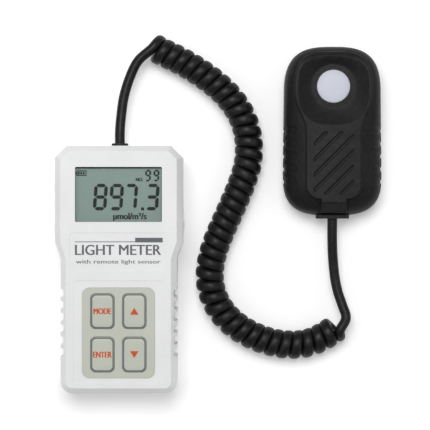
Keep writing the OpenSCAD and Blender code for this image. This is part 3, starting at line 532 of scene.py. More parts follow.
def make_finishes(look):
    """Every record slot's material, by slot name."""
    plain = {
        "frame_white": ((0.72, 0.72, 0.70), 0.5), "contact_rubber": ((0.55, 0.22, 0.20), 0.7),
        "chip_black": ((0.02, 0.02, 0.022), 0.45), "capacitor_sleeve": ((0.02, 0.03, 0.12), 0.35),
        "switch_grey": ((0.05, 0.05, 0.055), 0.5), "battery_case": ((0.06, 0.07, 0.09), 0.4),
        "snap_black": ((0.02, 0.02, 0.02), 0.6), "lead_red": ((0.45, 0.02, 0.02), 0.4),
        "tie_white": ((0.7, 0.7, 0.66), 0.45), "wire_yellow": ((0.62, 0.52, 0.04), 0.4),
        "socket_white": ((0.75, 0.72, 0.62), 0.5), "seal_rubber": ((0.10, 0.02, 0.02), 0.7),
        "holder_black": ((0.02, 0.02, 0.02), 0.6), "screw_dark": ((0.04, 0.04, 0.042), 0.4),
    }
    for slot_name, (colour, roughness) in plain.items():
        FINISHES[slot_name] = moulded(slot_name.replace("_", " "), colour, roughness)
    FINISHES.update({
        "case_white": moulded("case white", look.case_colour, 0.42, 2600.0, 0.000012, 0.10, 0.03,
                              seam=CASE_PARTING),
        "window_clear": clear_pane("window clear"),
        "lcd": display_film("display film", look.film_colour),
        "circuit_board": circuit_board("circuit board", (0.01, 0.10, 0.035)),
        "bare_steel": metal("bare steel", (0.56, 0.56, 0.57), 0.32),
        "gilt_can": metal("gilt can", (0.72, 0.55, 0.25), 0.28),
        "overlay_beige": moulded("overlay beige", look.overlay_colour, 0.5, 4200.0, 0.000015),
        "key_beige": moulded("key beige", look.key_colour, 0.46, 4200.0, 0.000015),
        "knob_white": moulded("knob white", (0.72, 0.72, 0.71), 0.42, 2400.0, 0.00002, 0.1),
        "grommet_black": moulded("grommet black", (0.012, 0.012, 0.013), 0.6, 2000.0, 0.00002),
        "cord_black": cord_sheath("cord sheath", look.cord_colour),
        "sensor_black": moulded("sensor black", look.sensor_colour, 0.50, 2300.0, 0.00003, 0.0, 0.03, 0.18,
                                seam=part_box("sensor_front_cover")[0].z),
        "diffuser_white": opal("opal diffuser", look.diffuser_colour),
        "filter_glass": clear_pane("filter glass"),
    })
    FINISHES["ink_grey"] = print_and_painted_shadow_ink("ink grey", (0.115, 0.13, 0.145))
    FINISHES["ink_orange"] = print_and_painted_shadow_ink("ink orange", look.legend_colour)
    FINISHES["ink_segment"] = print_and_painted_shadow_ink("segment ink", (0.008, 0.008, 0.011), 0.1)
    # painted shadow: a near-black finish for the strips under the window pane's top and right edges
    FINISHES["ink_shade"] = print_and_painted_shadow_ink("window painted shadow", (0.006, 0.007, 0.007), 0.1)


# ---------------------------------------------------------------- sizes and colours a user may change

class LookSettings(bpy.types.PropertyGroup):
    """Colours of the meter's finishes, as linear light."""
    case_colour: FloatVectorProperty(
        name="Case", description="White of both case covers", subtype="COLOR", default=(0.815, 0.82, 0.82))
    film_colour: FloatVectorProperty(
        name="Display film", description="Grey-green behind the segments", subtype="COLOR",
        default=(0.20, 0.281, 0.25))
    overlay_colour: FloatVectorProperty(
        name="Overlay", description="Keypad overlay round the keys", subtype="COLOR",
        default=(0.54, 0.556, 0.48))
    key_colour: FloatVectorProperty(
        name="Keys", description="Face of the four keys", subtype="COLOR", default=(0.52, 0.538, 0.458))
    legend_colour: FloatVectorProperty(
        name="Legends", description="Print on the keys", subtype="COLOR", default=(0.55, 0.078, 0.014))
    sensor_colour: FloatVectorProperty(
        name="Sensor head", description="Black of the sensor's covers", subtype="COLOR",
        default=(0.0085, 0.0083, 0.0095))
    diffuser_colour: FloatVectorProperty(
        name="Diffuser", description="Opal disc over the photodiode", subtype="COLOR",
        default=(0.612, 0.632, 0.712))
    cord_colour: FloatVectorProperty(
        name="Cord", description="Sheath of the cord", subtype="COLOR", default=(0.0045, 0.0045, 0.005))


class CordSettings(bpy.types.PropertyGroup):
    """Sizes of the cord between the meter and the sensor."""
    diameter: FloatProperty(
        name="Diameter", description="Outside of the sheath", unit="LENGTH", default=5.2 * MM, min=2 * MM)
    curl_diameter: FloatProperty(
        name="Curl diameter", description="Outside of the curled stretch", unit="LENGTH", default=15 * MM)
    turns: IntProperty(name="Turns", description="Turns in the curled stretch", default=41, min=4)
    rings_per_turn: IntProperty(name="Rings", description="Rings of mesh in each turn", default=30, min=12)
    sides: IntProperty(name="Sides", description="Sides of each ring", default=20, min=8)
    flattening: FloatProperty(
        name="Flattening", description="How much wider the sheath is along the curl", default=0.08, min=0)


class CaseSettings(bpy.types.PropertyGroup):
    """Rounding of the moulded pieces."""
    edge_rounding: FloatProperty(
        name="Edge rounding", description="Radius along the case's edges", unit="LENGTH", default=0.35 * MM)
    key_crown: FloatProperty(
        name="Key crown", description="Rise of a key's middle over its rim", unit="LENGTH", default=0.30 * MM)


class StageSettings(bpy.types.PropertyGroup):
    """Camera, floor and lights."""
    camera_height: FloatProperty(
        name="Camera height", description="Above the floor", unit="LENGTH", default=1.0)
    view_width: FloatProperty(
        name="View width", description="Width of floor that the camera takes in", unit="LENGTH",
        default=0.228)
    key_power: FloatProperty(name="Key light", description="Power of the main softbox in watts", default=11.3)
    fill_power: FloatProperty(
        name="Fill light", description="Power of each side softbox in watts", default=1.3)
    floor_glow: FloatProperty(
        name="Floor glow", description="Light that the floor gives off", default=0.2)
    sky: FloatProperty(name="Sky", description="Brightness of the white room", default=0.30)


# ---------------------------------------------------------------- stage

class LIGHTMETER_OT_stage(bpy.types.Operator):
    """Pale floor, soft studio lights and a camera straight above the meter"""
    bl_idname = "lightmeter.stage"
    bl_label = "Stage"

    def execute(self, context):
        scene = context.scene
        stage = scene.lightmeter_stage
        scene.view_settings.view_transform = "Standard"
        data = bpy.data.cameras.new("camera")
        data.sensor_width = 36.0
        data.lens = data.sensor_width * stage.camera_height / stage.view_width
        data.clip_end = 20.0
        camera = bpy.data.objects.new("camera", data)
        middle = (LOADED_BOX[0] + LOADED_BOX[1]) / 2
        camera.location = (middle.x - 2.3 * MM, middle.y - 1.3 * MM, stage.camera_height)
        scene.collection.objects.link(camera)
        scene.camera = camera

        reach = 3.0
        floor = make_object(
            "floor", [(-reach, -reach, 0), (reach, -reach, 0), (reach, reach, 0), (-reach, reach, 0)],
            [(0, 1, 2, 3)], floor_finish("pale floor", (0.96, 0.96, 0.96), stage.floor_glow))

        world = bpy.data.worlds.new("white room")
        world.use_nodes = True
        world.node_tree.nodes["Background"].inputs["Color"].default_value = (1.0, 1.0, 1.0, 1.0)
        world.node_tree.nodes["Background"].inputs["Strength"].default_value = stage.sky
        scene.world = world

        aim = Vector((camera.location.x, camera.location.y, 0.0))
        lights = [
            ("key softbox", (-0.08, 0.42, 1.30), (0.75, 0.6), stage.key_power),
            ("left softbox", (-0.95, -0.1, 0.85), (0.35, 0.9), stage.fill_power),
            ("right softbox", (0.95, 0.1, 0.85), (0.35, 0.9), stage.fill_power),
        ]
        for name, place, size, power in lights:
            light = bpy.data.lights.new(name, "AREA")
            light.shape = "RECTANGLE"
            light.size, light.size_y = size
            light.energy = power
            lamp = bpy.data.objects.new(name, light)
            lamp.location = aim + Vector(place)
            lamp.rotation_euler = (aim - lamp.location).to_track_quat("-Z", "Y").to_euler()
            scene.collection.objects.link(lamp)
        return {"FINISHED"}


# ---------------------------------------------------------------- cord

# the cord's route in metres: a lead at each end, and the axis of the curled stretch, which lies on the floor
METER_LEAD = MM * np.array([
    [0, 65.6, 14], [0, 72, 13.6], [0.6, 80, 12.9], [2, 90, 12.2], [5, 100, 11.9], [9.5, 109, 12]])
CURL_AXIS = MM * np.array([(x, y, 7.5) for x, y in [
    (17.6, 116.4), (24, 113), (31, 109.6), (38, 105.6), (45.5, 100.6), (52.5, 95), (58.5, 88.6),
    (63.3, 81.3), (66.4, 73), (67.6, 64), (66.9, 55), (64.2, 46), (60.6, 37), (56.6, 28), (52.6, 19),
    (49.2, 10), (47.2, 1), (47.2, -8), (50, -17), (55.4, -25), (62.6, -31.2), (71, -35.8), (80, -38.8),
    (89, -40), (98, -39.2), (106.4, -35.8), (113.4, -31.2)]])
SENSOR_LEAD = MM * np.array([
    [118.4, -26, 10.8], [116.5, -19, 9.6], [114.2, -12, 8.8], [112.6, -4, 8.6],
    [111.6, 6, 9.2], [111.2, 16, 10.4], [111.2, 26.3, 11]])

CURL_ENDS_DEG = (90, 52)                 # the strand's angle round the axis where the curl starts and ends
LEAD_REACH = 9 * MM                      # length of the headings at the ends of the leads
EASE = 0.08                              # share of the curl over which its stretch eases in, and out again
AXIS_POINTS, BEND_BLUR = 3000, 150       # points along the curl's axis, and to each side of its mean bend
BEND_SHARE = 0.75                        # spread of the turns in a bend: at 1 they lie no closer inside it


def smooth_line(points, start, end, per_span=8):
    """Cubic Hermite line through the points: inner headings are half the chord between a point's neighbours,
    and the first and last headings are given as vectors."""
    points = np.asarray(points, float)
    heads = np.empty_like(points)
    heads[1:-1] = (points[2:] - points[:-2]) / 2
    heads[0], heads[-1] = start, end
    t = np.linspace(0, 1, per_span, endpoint=False)[None, :, None]
    p, q, m, n = points[:-1, None], points[1:, None], heads[:-1, None], heads[1:, None]
    line = ((2 * t**3 - 3 * t**2 + 1) * p + (t**3 - 2 * t**2 + t) * m
            + (3 * t**2 - 2 * t**3) * q + (t**3 - t**2) * n)
    return np.vstack([line.reshape(-1, 3), points[-1]])


def unit(vectors):
    """Vectors brought to length 1."""
    return vectors / np.linalg.norm(vectors, axis=-1, keepdims=True)


def arc_length(line):
    """Distance along a line at each of its points."""
    return np.concatenate([[0], np.cumsum(np.linalg.norm(np.diff(line, axis=0), axis=1))])


def resample(line, places):
    """Points of a line at given distances along it."""
    along = arc_length(line)
    return np.stack([np.interp(places, along, line[:, k]) for k in range(3)], -1)


def helix(axis, radius, turns, per_turn, first_deg, last_deg):
    """Left-handed helix round an axis line: axis point + radius * (cos a * right + sin a * up). Its angle
    grows with the axis length, and more slowly where the axis bends, so the turns touch only on the inside.
    Gives the strand, each point's share of the axis length, and the axis heading there."""
    fine = resample(axis, np.linspace(0, arc_length(axis)[-1], AXIS_POINTS))
    along = arc_length(fine)
    heading = unit(np.gradient(fine, axis=0))
    bend = np.linalg.norm(np.gradient(heading, axis=0), axis=1) / np.gradient(along)
    window = 2 * BEND_BLUR + 1
    bend = np.convolve(np.pad(bend, BEND_BLUR, mode="edge"), np.ones(window) / window, mode="valid")
    rate = 1 - BEND_SHARE * radius * bend
    spent = np.concatenate([[0], np.cumsum((rate[1:] + rate[:-1]) / 2 * np.diff(along))])
    total = 2 * math.pi * turns + math.radians(last_deg - first_deg)
    angle = math.radians(first_deg) + total * spent / spent[-1]
    wanted = np.linspace(angle[0], angle[-1], int(per_turn * total / (2 * math.pi)) + 1)
    centre = np.stack([np.interp(wanted, angle, fine[:, k]) for k in range(3)], -1)
    ahead = np.stack([np.interp(wanted, angle, heading[:, k]) for k in range(3)], -1)
    up = np.array([0.0, 0.0, 1.0])
    right = unit(np.cross(ahead, up))
    strand = centre + radius * (np.cos(wanted)[:, None] * right + np.sin(wanted)[:, None] * up)
    share = np.interp(wanted, angle, along) / along[-1]
    return strand, share, ahead


def swept_tube(line, radius, sides, axial, squareness, spread):
    """Rings of a tube about a line, carried along without twist: each ring's first direction is the last
    one's, less its part along the line. A ring is round where squareness is 0. Where it is 1 the ring is a
    superellipse of power 3, wider by the spread along its axial direction:
    radius * (|cos / wide|^p + |sin|^p)^(-1/p)."""
    heading = unit(np.gradient(line, axis=0))
    first = np.empty_like(line)
    across = np.array([1.0, 0.0, 0.0])
    for k, h in enumerate(heading):
        across = unit(across - across.dot(h) * h)
        first[k] = across
    second = np.cross(heading, first)
    around = np.linspace(0, 2 * math.pi, sides, endpoint=False)[None, :]
    turned = around - np.arctan2((axial * second).sum(axis=1), (axial * first).sum(axis=1))[:, None]
    power = 2 + squareness[:, None]
    wide = 1 + spread * squareness[:, None]
    reach = np.abs(np.cos(turned) / wide) ** power + np.abs(np.sin(turned)) ** power
    around, reach = around[..., None], radius * reach[..., None] ** (-1 / power[..., None])
    return line[:, None] + reach * (np.cos(around) * first[:, None] + np.sin(around) * second[:, None])


class LIGHTMETER_OT_cord(bpy.types.Operator):
    """Curly cord from the meter's grommet to the sensor's gland, as one strand"""
    bl_idname = "lightmeter.cord"
    bl_label = "Curly Cord"

    def execute(self, context):
        cord = context.scene.lightmeter_cord
        radius = (cord.curl_diameter - cord.diameter) / 2
        axis_ends = CURL_AXIS[1] - CURL_AXIS[0], CURL_AXIS[-1] - CURL_AXIS[-2]
        axis = smooth_line(CURL_AXIS, *axis_ends, per_span=20)
        strand, share, ahead = helix(axis, radius, cord.turns, cord.rings_per_turn, *CURL_ENDS_DEG)
        into = unit(strand[1] - strand[0]) * LEAD_REACH
        out = unit(strand[-1] - strand[-2]) * LEAD_REACH
        lead_in = smooth_line([*METER_LEAD, strand[0]], (0, LEAD_REACH, -0.4 * MM), into)
        lead_out = smooth_line([strand[-1], *SENSOR_LEAD], out, (0, LEAD_REACH, 0))
        line = np.vstack([lead_in[:-1], strand, lead_out[1:]])
        weight = np.concatenate([np.zeros(len(lead_in) - 1), share, np.ones(len(lead_out) - 1)])
        grown = np.where(weight < EASE, weight**2 / (2 * EASE), weight - EASE / 2)
        grown = np.where(weight > 1 - EASE, 1 - EASE - (1 - weight) ** 2 / (2 * EASE), grown)
        weight = grown / (1 - EASE)

        # the sheath is pressed flat against its neighbours in the curl, and turns round over half a turn
        into_curl = np.arange(len(strand)) / (0.5 * cord.rings_per_turn)
        square = smooth_step(np.minimum(into_curl, into_curl[::-1]))
        square = np.pad(square, (len(lead_in) - 1, len(lead_out) - 1))
        axial = np.pad(ahead, ((len(lead_in) - 1, len(lead_out) - 1), (0, 0)), mode="edge")
        rings = swept_tube(line, cord.diameter / 2, cord.sides, axial, square, cord.flattening)
        obj = loft("curly_cord", rings, FINISHES["cord_black"])
        write_strand_uv(obj.data, arc_length(line), cord.sides)
        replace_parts(obj, "cord_meter_lead", "cord_curl", "cord_sensor_lead")
        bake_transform(obj)
        return {"FINISHED"}


def write_strand_uv(mesh, along, sides):
    """UV map of a swept tube: U in turns round the strand, V in metres along it."""
    uv = mesh.uv_layers.new(name="strand")
    loops = np.empty(len(mesh.loops), int)
    mesh.loops.foreach_get("vertex_index", loops)
    ring, side = loops // sides, loops % sides
    u = side / sides
    quads = 4 * (len(along) - 1) * sides
    first = u[:quads].reshape(-1, 4)
    wraps = (first.max(axis=1) > 0.9) & (first.min(axis=1) < 0.05)
    first[wraps] = np.where(first[wraps] < 0.05, first[wraps] + 1, first[wraps])
    u[:quads] = first.ravel()
    uv.data.foreach_set("uv", np.stack([u, along[ring]], -1).astype(np.float32).ravel())


# ---------------------------------------------------------------- CAD nodes that stay

class LIGHTMETER_OT_finish_nodes(bpy.types.Operator):
    """Gives every CAD node the finish of its record slot"""
    bl_idname = "lightmeter.finish_nodes"
    bl_label = "CAD Finishes"

    def execute(self, context):
        make_finishes(context.scene.lightmeter_look)
        for name, obj in frame["nodes"].items():
            obj.data.materials.clear()
            obj.data.materials.append(FINISHES[NODE_SLOTS[name]])
        return {"FINISHED"}


# ---------------------------------------------------------------- case

class LIGHTMETER_OT_case(bpy.types.Operator):
    """Front cover, back cover, battery door, power knob, sensor gland and cord grommet with rounded edges"""
    bl_idname = "lightmeter.case"
    bl_label = "Case"

    def execute(self, context):
        width = context.scene.lightmeter_case.edge_rounding
        softened_copy("front_cover", "front_shell", FINISHES["case_white"], width)
        softened_copy("rear_cover", "rear_shell", FINISHES["case_white"], width)
        softened_copy("battery_door", "battery_hatch", FINISHES["case_white"], width * 0.7)
        softened_copy("power_knob", "power_slider", FINISHES["knob_white"], width * 0.5)
        softened_copy("sensor_gland", "sensor_cord_gland", FINISHES["grommet_black"], width)
        softened_copy("cord_grommet", "meter_cord_grommet", FINISHES["grommet_black"], width)
        return {"FINISHED"}


# ---------------------------------------------------------------- print: text and flat figures

def thin_sheet(name, outlines, z, thickness, material):
    """Closed prism for each flat outline, from z up by a thickness: the outline, its copy above, and the
    sides between them."""
    points, faces, start = [], [], 0
    for outline in outlines:
        outline = np.asarray(outline, float)
        turn = outline * np.roll(outline, -1, axis=0)[:, ::-1]
        if (turn[:, 0] - turn[:, 1]).sum() < 0:
            outline = outline[::-1]
        count = len(outline)
        points += [at_height(outline, z), at_height(outline, z + thickness)]
        faces += [[start + k for k in face] for face in closed_faces(2, count)]
        start += 2 * count
    return make_object(name, np.vstack(points), faces, material)


def ring_sheet(name, outer, inner, z, thickness, material):
    """Closed flat ring between two outlines of equal point count."""
    loops = [at_height(inner, z), at_height(inner, z + thickness),
             at_height(outer, z + thickness), at_height(outer, z), at_height(inner, z)]
    count = len(outer)
    faces = grid_faces(5, count, wrap_columns=True) % (4 * count)
    return make_object(name, np.vstack(loops[:4]), faces[:, ::-1], material)


def text_sheet(name, words, box, z, thickness, material, bold=0.0):
    """Words as a thin closed mesh that fills a box (x0, y0, x1, y1): letters are scaled to it each way, and
    two copies a little to either side thicken their strokes."""
    curve = bpy.data.curves.new(name, "FONT")
    curve.body = words
    curve.extrude = 0.01
    curve.resolution_u = 4
    holder = bpy.data.objects.new(name + " text", curve)
    bpy.context.scene.collection.objects.link(holder)
    bpy.context.view_layer.update()
    mesh = bpy.data.meshes.new_from_object(holder.evaluated_get(bpy.context.evaluated_depsgraph_get()))
    bpy.data.objects.remove(holder)
    bpy.data.curves.remove(curve)
    points = np.empty(len(mesh.vertices) * 3)
    mesh.vertices.foreach_get("co", points)
    points = points.reshape(-1, 3)
    low, high = points.min(axis=0), points.max(axis=0)
    target_low = np.array([box[0], box[1], z])
    target_high = np.array([box[2], box[3], z + thickness])
    target_low[0] += bold
    target_high[0] -= bold
    points = target_low + (points - low) / (high - low) * (target_high - target_low)
    letters = [list(f.vertices) for f in mesh.polygons]
    bpy.data.meshes.remove(mesh)
    shifts = (-1, 0, 1) if bold else (0,)
    every = np.vstack([points + np.array([k * bold, 0, k * 0.002 * MM]) for k in shifts])
    faces = [[v + n * len(points) for v in f] for n in range(len(shifts)) for f in letters]
    return make_object(name, every, faces, material)


# ---------------------------------------------------------------- display

# strokes of a seven-segment figure: ends on a unit cell 1 wide and 2 high
STROKES = {
    "top": ((0, 2), (1, 2)), "middle": ((0, 1), (1, 1)), "bottom": ((0, 0), (1, 0)),
    "upper left": ((0, 1), (0, 2)), "upper right": ((1, 1), (1, 2)),
    "lower left": ((0, 0), (0, 1)), "lower right": ((1, 0), (1, 1)),
}
FIGURES = {
    "3": ("top", "middle", "bottom", "upper right", "lower right"),
    "7": ("top", "upper right", "lower right"),
    "8": tuple(STROKES),
    "9": ("top", "middle", "bottom", "upper left", "upper right", "lower right"),
}


# layout of the display, in millimetres from its middle. A row of figures: the bottom, width, height and
# stroke of its figures, then each figure with its left edge
FIGURE_LEAN = 0.07
FIGURE_ROWS = (
    ((-8.2, 7.0, 13.7, 1.75), (("8", -13.4), ("9", -5.1), ("7", 2.2), ("3", 13.3))),
    ((6.7, 3.05, 6.1, 0.95), (("9", 13.4), ("9", 17.7))),
)
POINT = (11.6, -8.2, 13.1, -6.7)
BATTERY_SIGN = (-21.7, 9.6, -16.6, 12.4)
BATTERY_LINE = 0.45
# words: name of the piece, text, box and how much bolder
DISPLAY_WORDS = (("count_sign", "NO.", (8.8, 6.8, 12.7, 8.6), 0.14),
                 ("unit_sign", "µmol/m²/s", (-2.9, -13.6, 14.5, -9.5), 0.2))
WINDOW_HALF = (22.35, 14.15)
PAINTED_SHADOW_TOP, PAINTED_SHADOW_SIDE = 0.7, 0.3         # width of the painted shadow strips under the pane, along the window's top and right edges


def figure_outlines(figure, left, bottom, width, height, weight):
    """Six-sided strokes of one figure in millimetres: each is a bar with pointed ends, a gap short of its
    cell's corners, and the whole figure leans to the right by its height times a factor."""
    half, gap = weight / 2, 0.11 * weight
    cell = np.array([width - weight, (height - weight) / 2])
    outlines = []
    for stroke in FIGURES[figure]:
        a, b = (np.array(end) * cell + half for end in STROKES[stroke])
        along = (b - a) / np.linalg.norm(b - a)
        across = np.array([-along[1], along[0]])
        a, b = a + along * gap, b - along * gap
        bar = np.array([a, a + half * (along + across), b - half * (along - across), b,
                        b - half * (along + across), a + half * (along - across)])
        outlines.append(np.column_stack([left + bar[:, 0] + FIGURE_LEAN * bar[:, 1], bottom + bar[:, 1]]))
    return outlines


def bar_outlines(boxes, middle):
    """Rectangles from their corners (x0, y0, x1, y1) in millimetres from a middle point."""
    corners = np.asarray(boxes, float) * MM
    return middle + corners[:, [[0, 1], [2, 1], [2, 3], [0, 3]]]


class LIGHTMETER_OT_display(bpy.types.Operator):
    """Segments, small signs and units of the display, and a painted shadow along the top and right edges of
    its window
    """
    bl_idname = "lightmeter.display"
    bl_label = "Display"

    def execute(self, context):
        low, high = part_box("lcd_glass")
        middle = np.array([0.0, (low.y + high.y) / 2])
        z, thick = high.z + 0.03 * MM, 0.05 * MM
        ink = FINISHES["ink_segment"]

        outlines = list(bar_outlines([POINT], middle))
        for sizes, figures in FIGURE_ROWS:
            for figure, left in figures:
                outlines += [o * MM + middle for o in figure_outlines(figure, left, *sizes)]
        ride(thin_sheet("display_segments", outlines, z, thick, ink), "meter")

        # battery sign: a long frame with a stub on its left and three bars inside
        x0, y0, x1, y1 = BATTERY_SIGN
        line, inset = BATTERY_LINE, 0.7
        sign = [(x0, y0, x1, y0 + line), (x0, y1 - line, x1, y1), (x0, y0 + line, x0 + line, y1 - line),
                (x1 - line, y0 + line, x1, y1 - line), (x0 - 0.6, y0 + inset, x0 - 0.08, y1 - inset)]
        sign += [(x0 + k, y0 + inset, x0 + k + 0.85, y1 - inset) for k in (0.75, 2.0, 3.25)]
        ride(thin_sheet("battery_sign", bar_outlines(sign, middle), z, thick, ink), "meter")

        for name, words, box, bold in DISPLAY_WORDS:
            corners = np.array(box) * MM + np.tile(middle, 2)
            ride(text_sheet(name, words, corners, z, thick, ink, bold * MM), "meter")

        wide, tall = WINDOW_HALF
        # painted shadow: near-black strips under the pane along the window's top and right edges, where the
        # case's lip shades the display
        dark = bar_outlines([(-wide, tall - PAINTED_SHADOW_TOP, wide, tall),
                             (wide - PAINTED_SHADOW_SIDE, -tall, wide, tall - PAINTED_SHADOW_TOP)], middle)
        pane_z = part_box("window_pane")[0].z
        gap = thin_sheet("window_painted_shadow", dark, pane_z - 0.12 * MM, 0.1 * MM, FINISHES["ink_shade"])
        ride(gap, "meter")
        return {"FINISHED"}


# ---------------------------------------------------------------- keypad and label

KEY_FLANGE = 1.0 * MM                    # how far a key's hidden flange stands out past its face
LEGEND_HEIGHT = 3.0 * MM
ARROW_HALF, ARROW_RISE = 2.2 * MM, 1.8 * MM
# each key's node, its word or None for an arrow, and the word's width in mm or the arrow's direction
KEYS = (("key_mode", "MODE", 9.3), ("key_up", None, 1), ("key_enter", "ENTER", 9.7), ("key_down", None, -1))


class LIGHTMETER_OT_keypad(bpy.types.Operator):
    """Overlay with a soft edge, and four crowned keys with an outline and a legend each"""
    bl_idname = "lightmeter.keypad"
    bl_label = "Keypad"

    def execute(self, context):
        softened_copy("keypad_overlay", "keypad_skin", FINISHES["overlay_beige"], 0.18 * MM)
        for node, legend, size in KEYS:
            make_key(node, legend, size, context.scene.lightmeter_case.key_crown)
        return {"FINISHED"}


def key_face(node):
    """Middle and size of a key's face, in metres."""
    low, high = np.array(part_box(node))[:, :2]
    return (low + high) / 2, high - low - 2 * KEY_FLANGE


def make_key(node, legend, size, crown):
    """Crowned key: a stack of rounded outlines whose inset grows as they rise, a grey outline round its face,
    and a printed word of a width in mm or a triangle (size 1 points up, -1 down)."""
    body = frame["nodes"][node]["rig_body"]
    low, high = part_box(node)
    middle, face = key_face(node)
    rim = high.z - crown
    rise = [(0.0, low.z + 0.8 * MM), (0.0, rim - 0.35 * MM), (0.07 * MM, rim - 0.12 * MM), (0.25 * MM, rim),
            (0.9 * MM, high.z - 0.45 * crown), (1.9 * MM, high.z - 0.12 * crown), (3.0 * MM, high.z)]
    loops = [at_height(rounded_loop(*(face - 2 * inset), max(2.6 * MM - 0.6 * inset, 0.8 * MM)) + middle, z)
             for inset, z in rise]
    cap = ride(loft(f"{node}_cap", loops, FINISHES["key_beige"], 50), body)
    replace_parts(cap, node)

    outer = rounded_loop(*(face - 0.5 * MM), 2.4 * MM) + middle
    inner = rounded_loop(*(face - 2.1 * MM), 1.7 * MM) + middle
    ring = ring_sheet(f"{node}_outline", outer, inner, rim - 0.02 * MM, 0.62 * crown, FINISHES["ink_grey"])
    ride(ring, body)
    z = high.z - 0.04 * MM
    if legend:
        half = np.array([size * MM, LEGEND_HEIGHT]) / 2
        box = (*(middle - half), *(middle + half))
        sign = text_sheet(f"{node}_legend", legend, box, z, 0.05 * MM, FINISHES["ink_orange"], 0.2 * MM)
    else:
        rise = ARROW_RISE * size
        arrow = middle + np.array([[-ARROW_HALF, -rise], [ARROW_HALF, -rise], [0.0, rise]])
        sign = thin_sheet(f"{node}_legend", [arrow], z, 0.05 * MM, FINISHES["ink_orange"])
    ride(sign, body)


# layout of the label, in millimetres: a rule and its tag, then words with their box and how much bolder
LABEL_BARS = ((-22.4, 14.2, 8.6, 14.6), (8.6, 14.1, 22.8, 16.5))
LABEL_WORDS = (("label_title", "LIGHT METER", (-22.4, 7.6, 22.0, 12.9), 0.18),
               ("label_line", "with remote light sensor", (-21.9, 2.6, 21.7, 5.2), 0.06))
LABEL_SUNK = 0.31 * MM                   # print's height below the top of the front cover


class LIGHTMETER_OT_label(bpy.types.Operator):
    """Printed label under the display: a rule with a tag, a title and a line below it"""
    bl_idname = "lightmeter.label"
    bl_label = "Label"

    def execute(self, context):
        z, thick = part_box("front_cover")[1].z - LABEL_SUNK, 0.03 * MM
        ink = FINISHES["ink_grey"]
        rule = thin_sheet("label_rule", bar_outlines(LABEL_BARS, np.zeros(2)), z, thick, ink)
        ride(rule, "meter")
        for name, words, box, bold in LABEL_WORDS:
            sign = text_sheet(name, words, np.array(box) * MM, z, thick, ink, bold * MM)
            ride(sign, "meter")
        return {"FINISHED"}


# ---------------------------------------------------------------- sensor head

SENSOR = centre_of("sensor_front_cover")
HEAD_LOW, HEAD_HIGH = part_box("sensor_front_cover")
EYE_Y = centre_of("diffuser").y          # middle of the diffuser
UPPER_Y, UPPER_L, UPPER_W = 90.0 * MM, 26.3 * MM, 25.3 * MM
LOWER_Y, LOWER_L, LOWER_W = 50.0 * MM, 22.1 * MM, 25.8 * MM
PANEL_TOP = 24.75 * MM
PANEL_START, PANEL_END = 29.4 * MM, 113.4 * MM
DISH_FLOOR, DISH_Y = 21.0 * MM, 93.2 * MM
DISH_HALF, FLOOR_RADIUS = 18.4 * MM, 11.6 * MM
SCALLOPS, SCALLOP_PITCH = 5, 6.65 * MM
GROOVES_Y, GROOVE_PITCH = 55 * MM, 5.6 * MM
FIELD_HALF_X, FIELD_HALF_Y = 9.6 * MM, 15.5 * MM
NECK_Y, TAB_Y, TAB_HALF = 92 * MM, 36.6 * MM, 6.7 * MM


def head_measures(y):
    """For each y: how far it is into an end of the head's outline (0 to 1), and the half-width there before
    that end rounds it off."""
    upper = np.clip((y - UPPER_Y) / UPPER_L, 0, 1)
    lower = np.clip((LOWER_Y - y) / LOWER_L, 0, 1)
    mix = np.clip((y - LOWER_Y) / (UPPER_Y - LOWER_Y), 0, 1)
    return np.maximum(upper, lower), LOWER_W + (UPPER_W - LOWER_W) * mix


def head_radius(x, y):
    """Superellipse distance of power 3: 0 on the spine of the head, 1 on its outline."""
    end, half = head_measures(y)
    return (np.abs(x / half) ** 3 + end**3) ** (1 / 3)


def head_height(x, y):
    """Dome over the outline: parting + rise * (1 - rho^k)^(1/m), fuller at the diffuser's end."""
    full = smooth_step((y - 55 * MM) / (45 * MM))
    k, m = 2.8 + 2.4 * full, 2.0 + 0.3 * full
    rho = np.clip(head_radius(x, y), 0, 1)
    return HEAD_LOW.z + (24.0 * MM - HEAD_LOW.z) * (1 - rho**k) ** (1 / m)


def scallop_depth(x, y):
    """Five thumb scallops down each side: D shapes with a round inner end, 1 inside and 0 outside."""
    nearest = np.clip(np.round((SENSOR.y - y) / SCALLOP_PITCH), 0, SCALLOPS - 1)
    dy = y - (SENSOR.y - nearest * SCALLOP_PITCH)
    inner = head_measures(y)[1] - 4.4 * MM
    dx = np.minimum(np.abs(x) - inner, 0.0)
    return 1 - smooth_step((np.hypot(dx, dy) - 1.75 * MM) / (0.5 * MM))


def panel_half_width(y):
    """Pear outline of the raised panel: a round head, a neck, straight sides, round corners and a tab."""
    neck = 14.5 * MM + 6.0 * MM * smooth_step((y - 71 * MM) / (21 * MM))
    head_t = np.clip((y - NECK_Y) / (PANEL_END - NECK_Y), 0, 1)
    bend = 7.2 * MM
    corner = np.clip((TAB_Y + bend - y) / bend, 0, 1)
    wide = np.where(y > NECK_Y, 20.5 * MM * (1 - head_t**3) ** (1 / 3), neck)
    wide = wide - bend * (1 - np.sqrt(1 - corner**2))
    return np.where(y < TAB_Y, TAB_HALF, np.maximum(wide, TAB_HALF * (y < 60 * MM)))


def dish_floor_share(x, y):
    """0 on the dish's round floor, 1 on and outside its squarish rim: a / (a + b), where a is the distance
    from the floor's circle and b that from the rim."""
    above = y > DISH_Y
    power = np.where(above, 3.0, 2.6)
    length = np.where(above, 17.7 * MM, 18.6 * MM)
    rim = (np.abs(x / DISH_HALF) ** power + (np.abs(y - DISH_Y) / length) ** power) ** (1 / power)
    outside = np.maximum(np.hypot(x, y - EYE_Y) - FLOOR_RADIUS, 0)
    inside = np.maximum((1 - rim) * DISH_HALF, 0)
    return outside / (outside + inside + 1e-9)


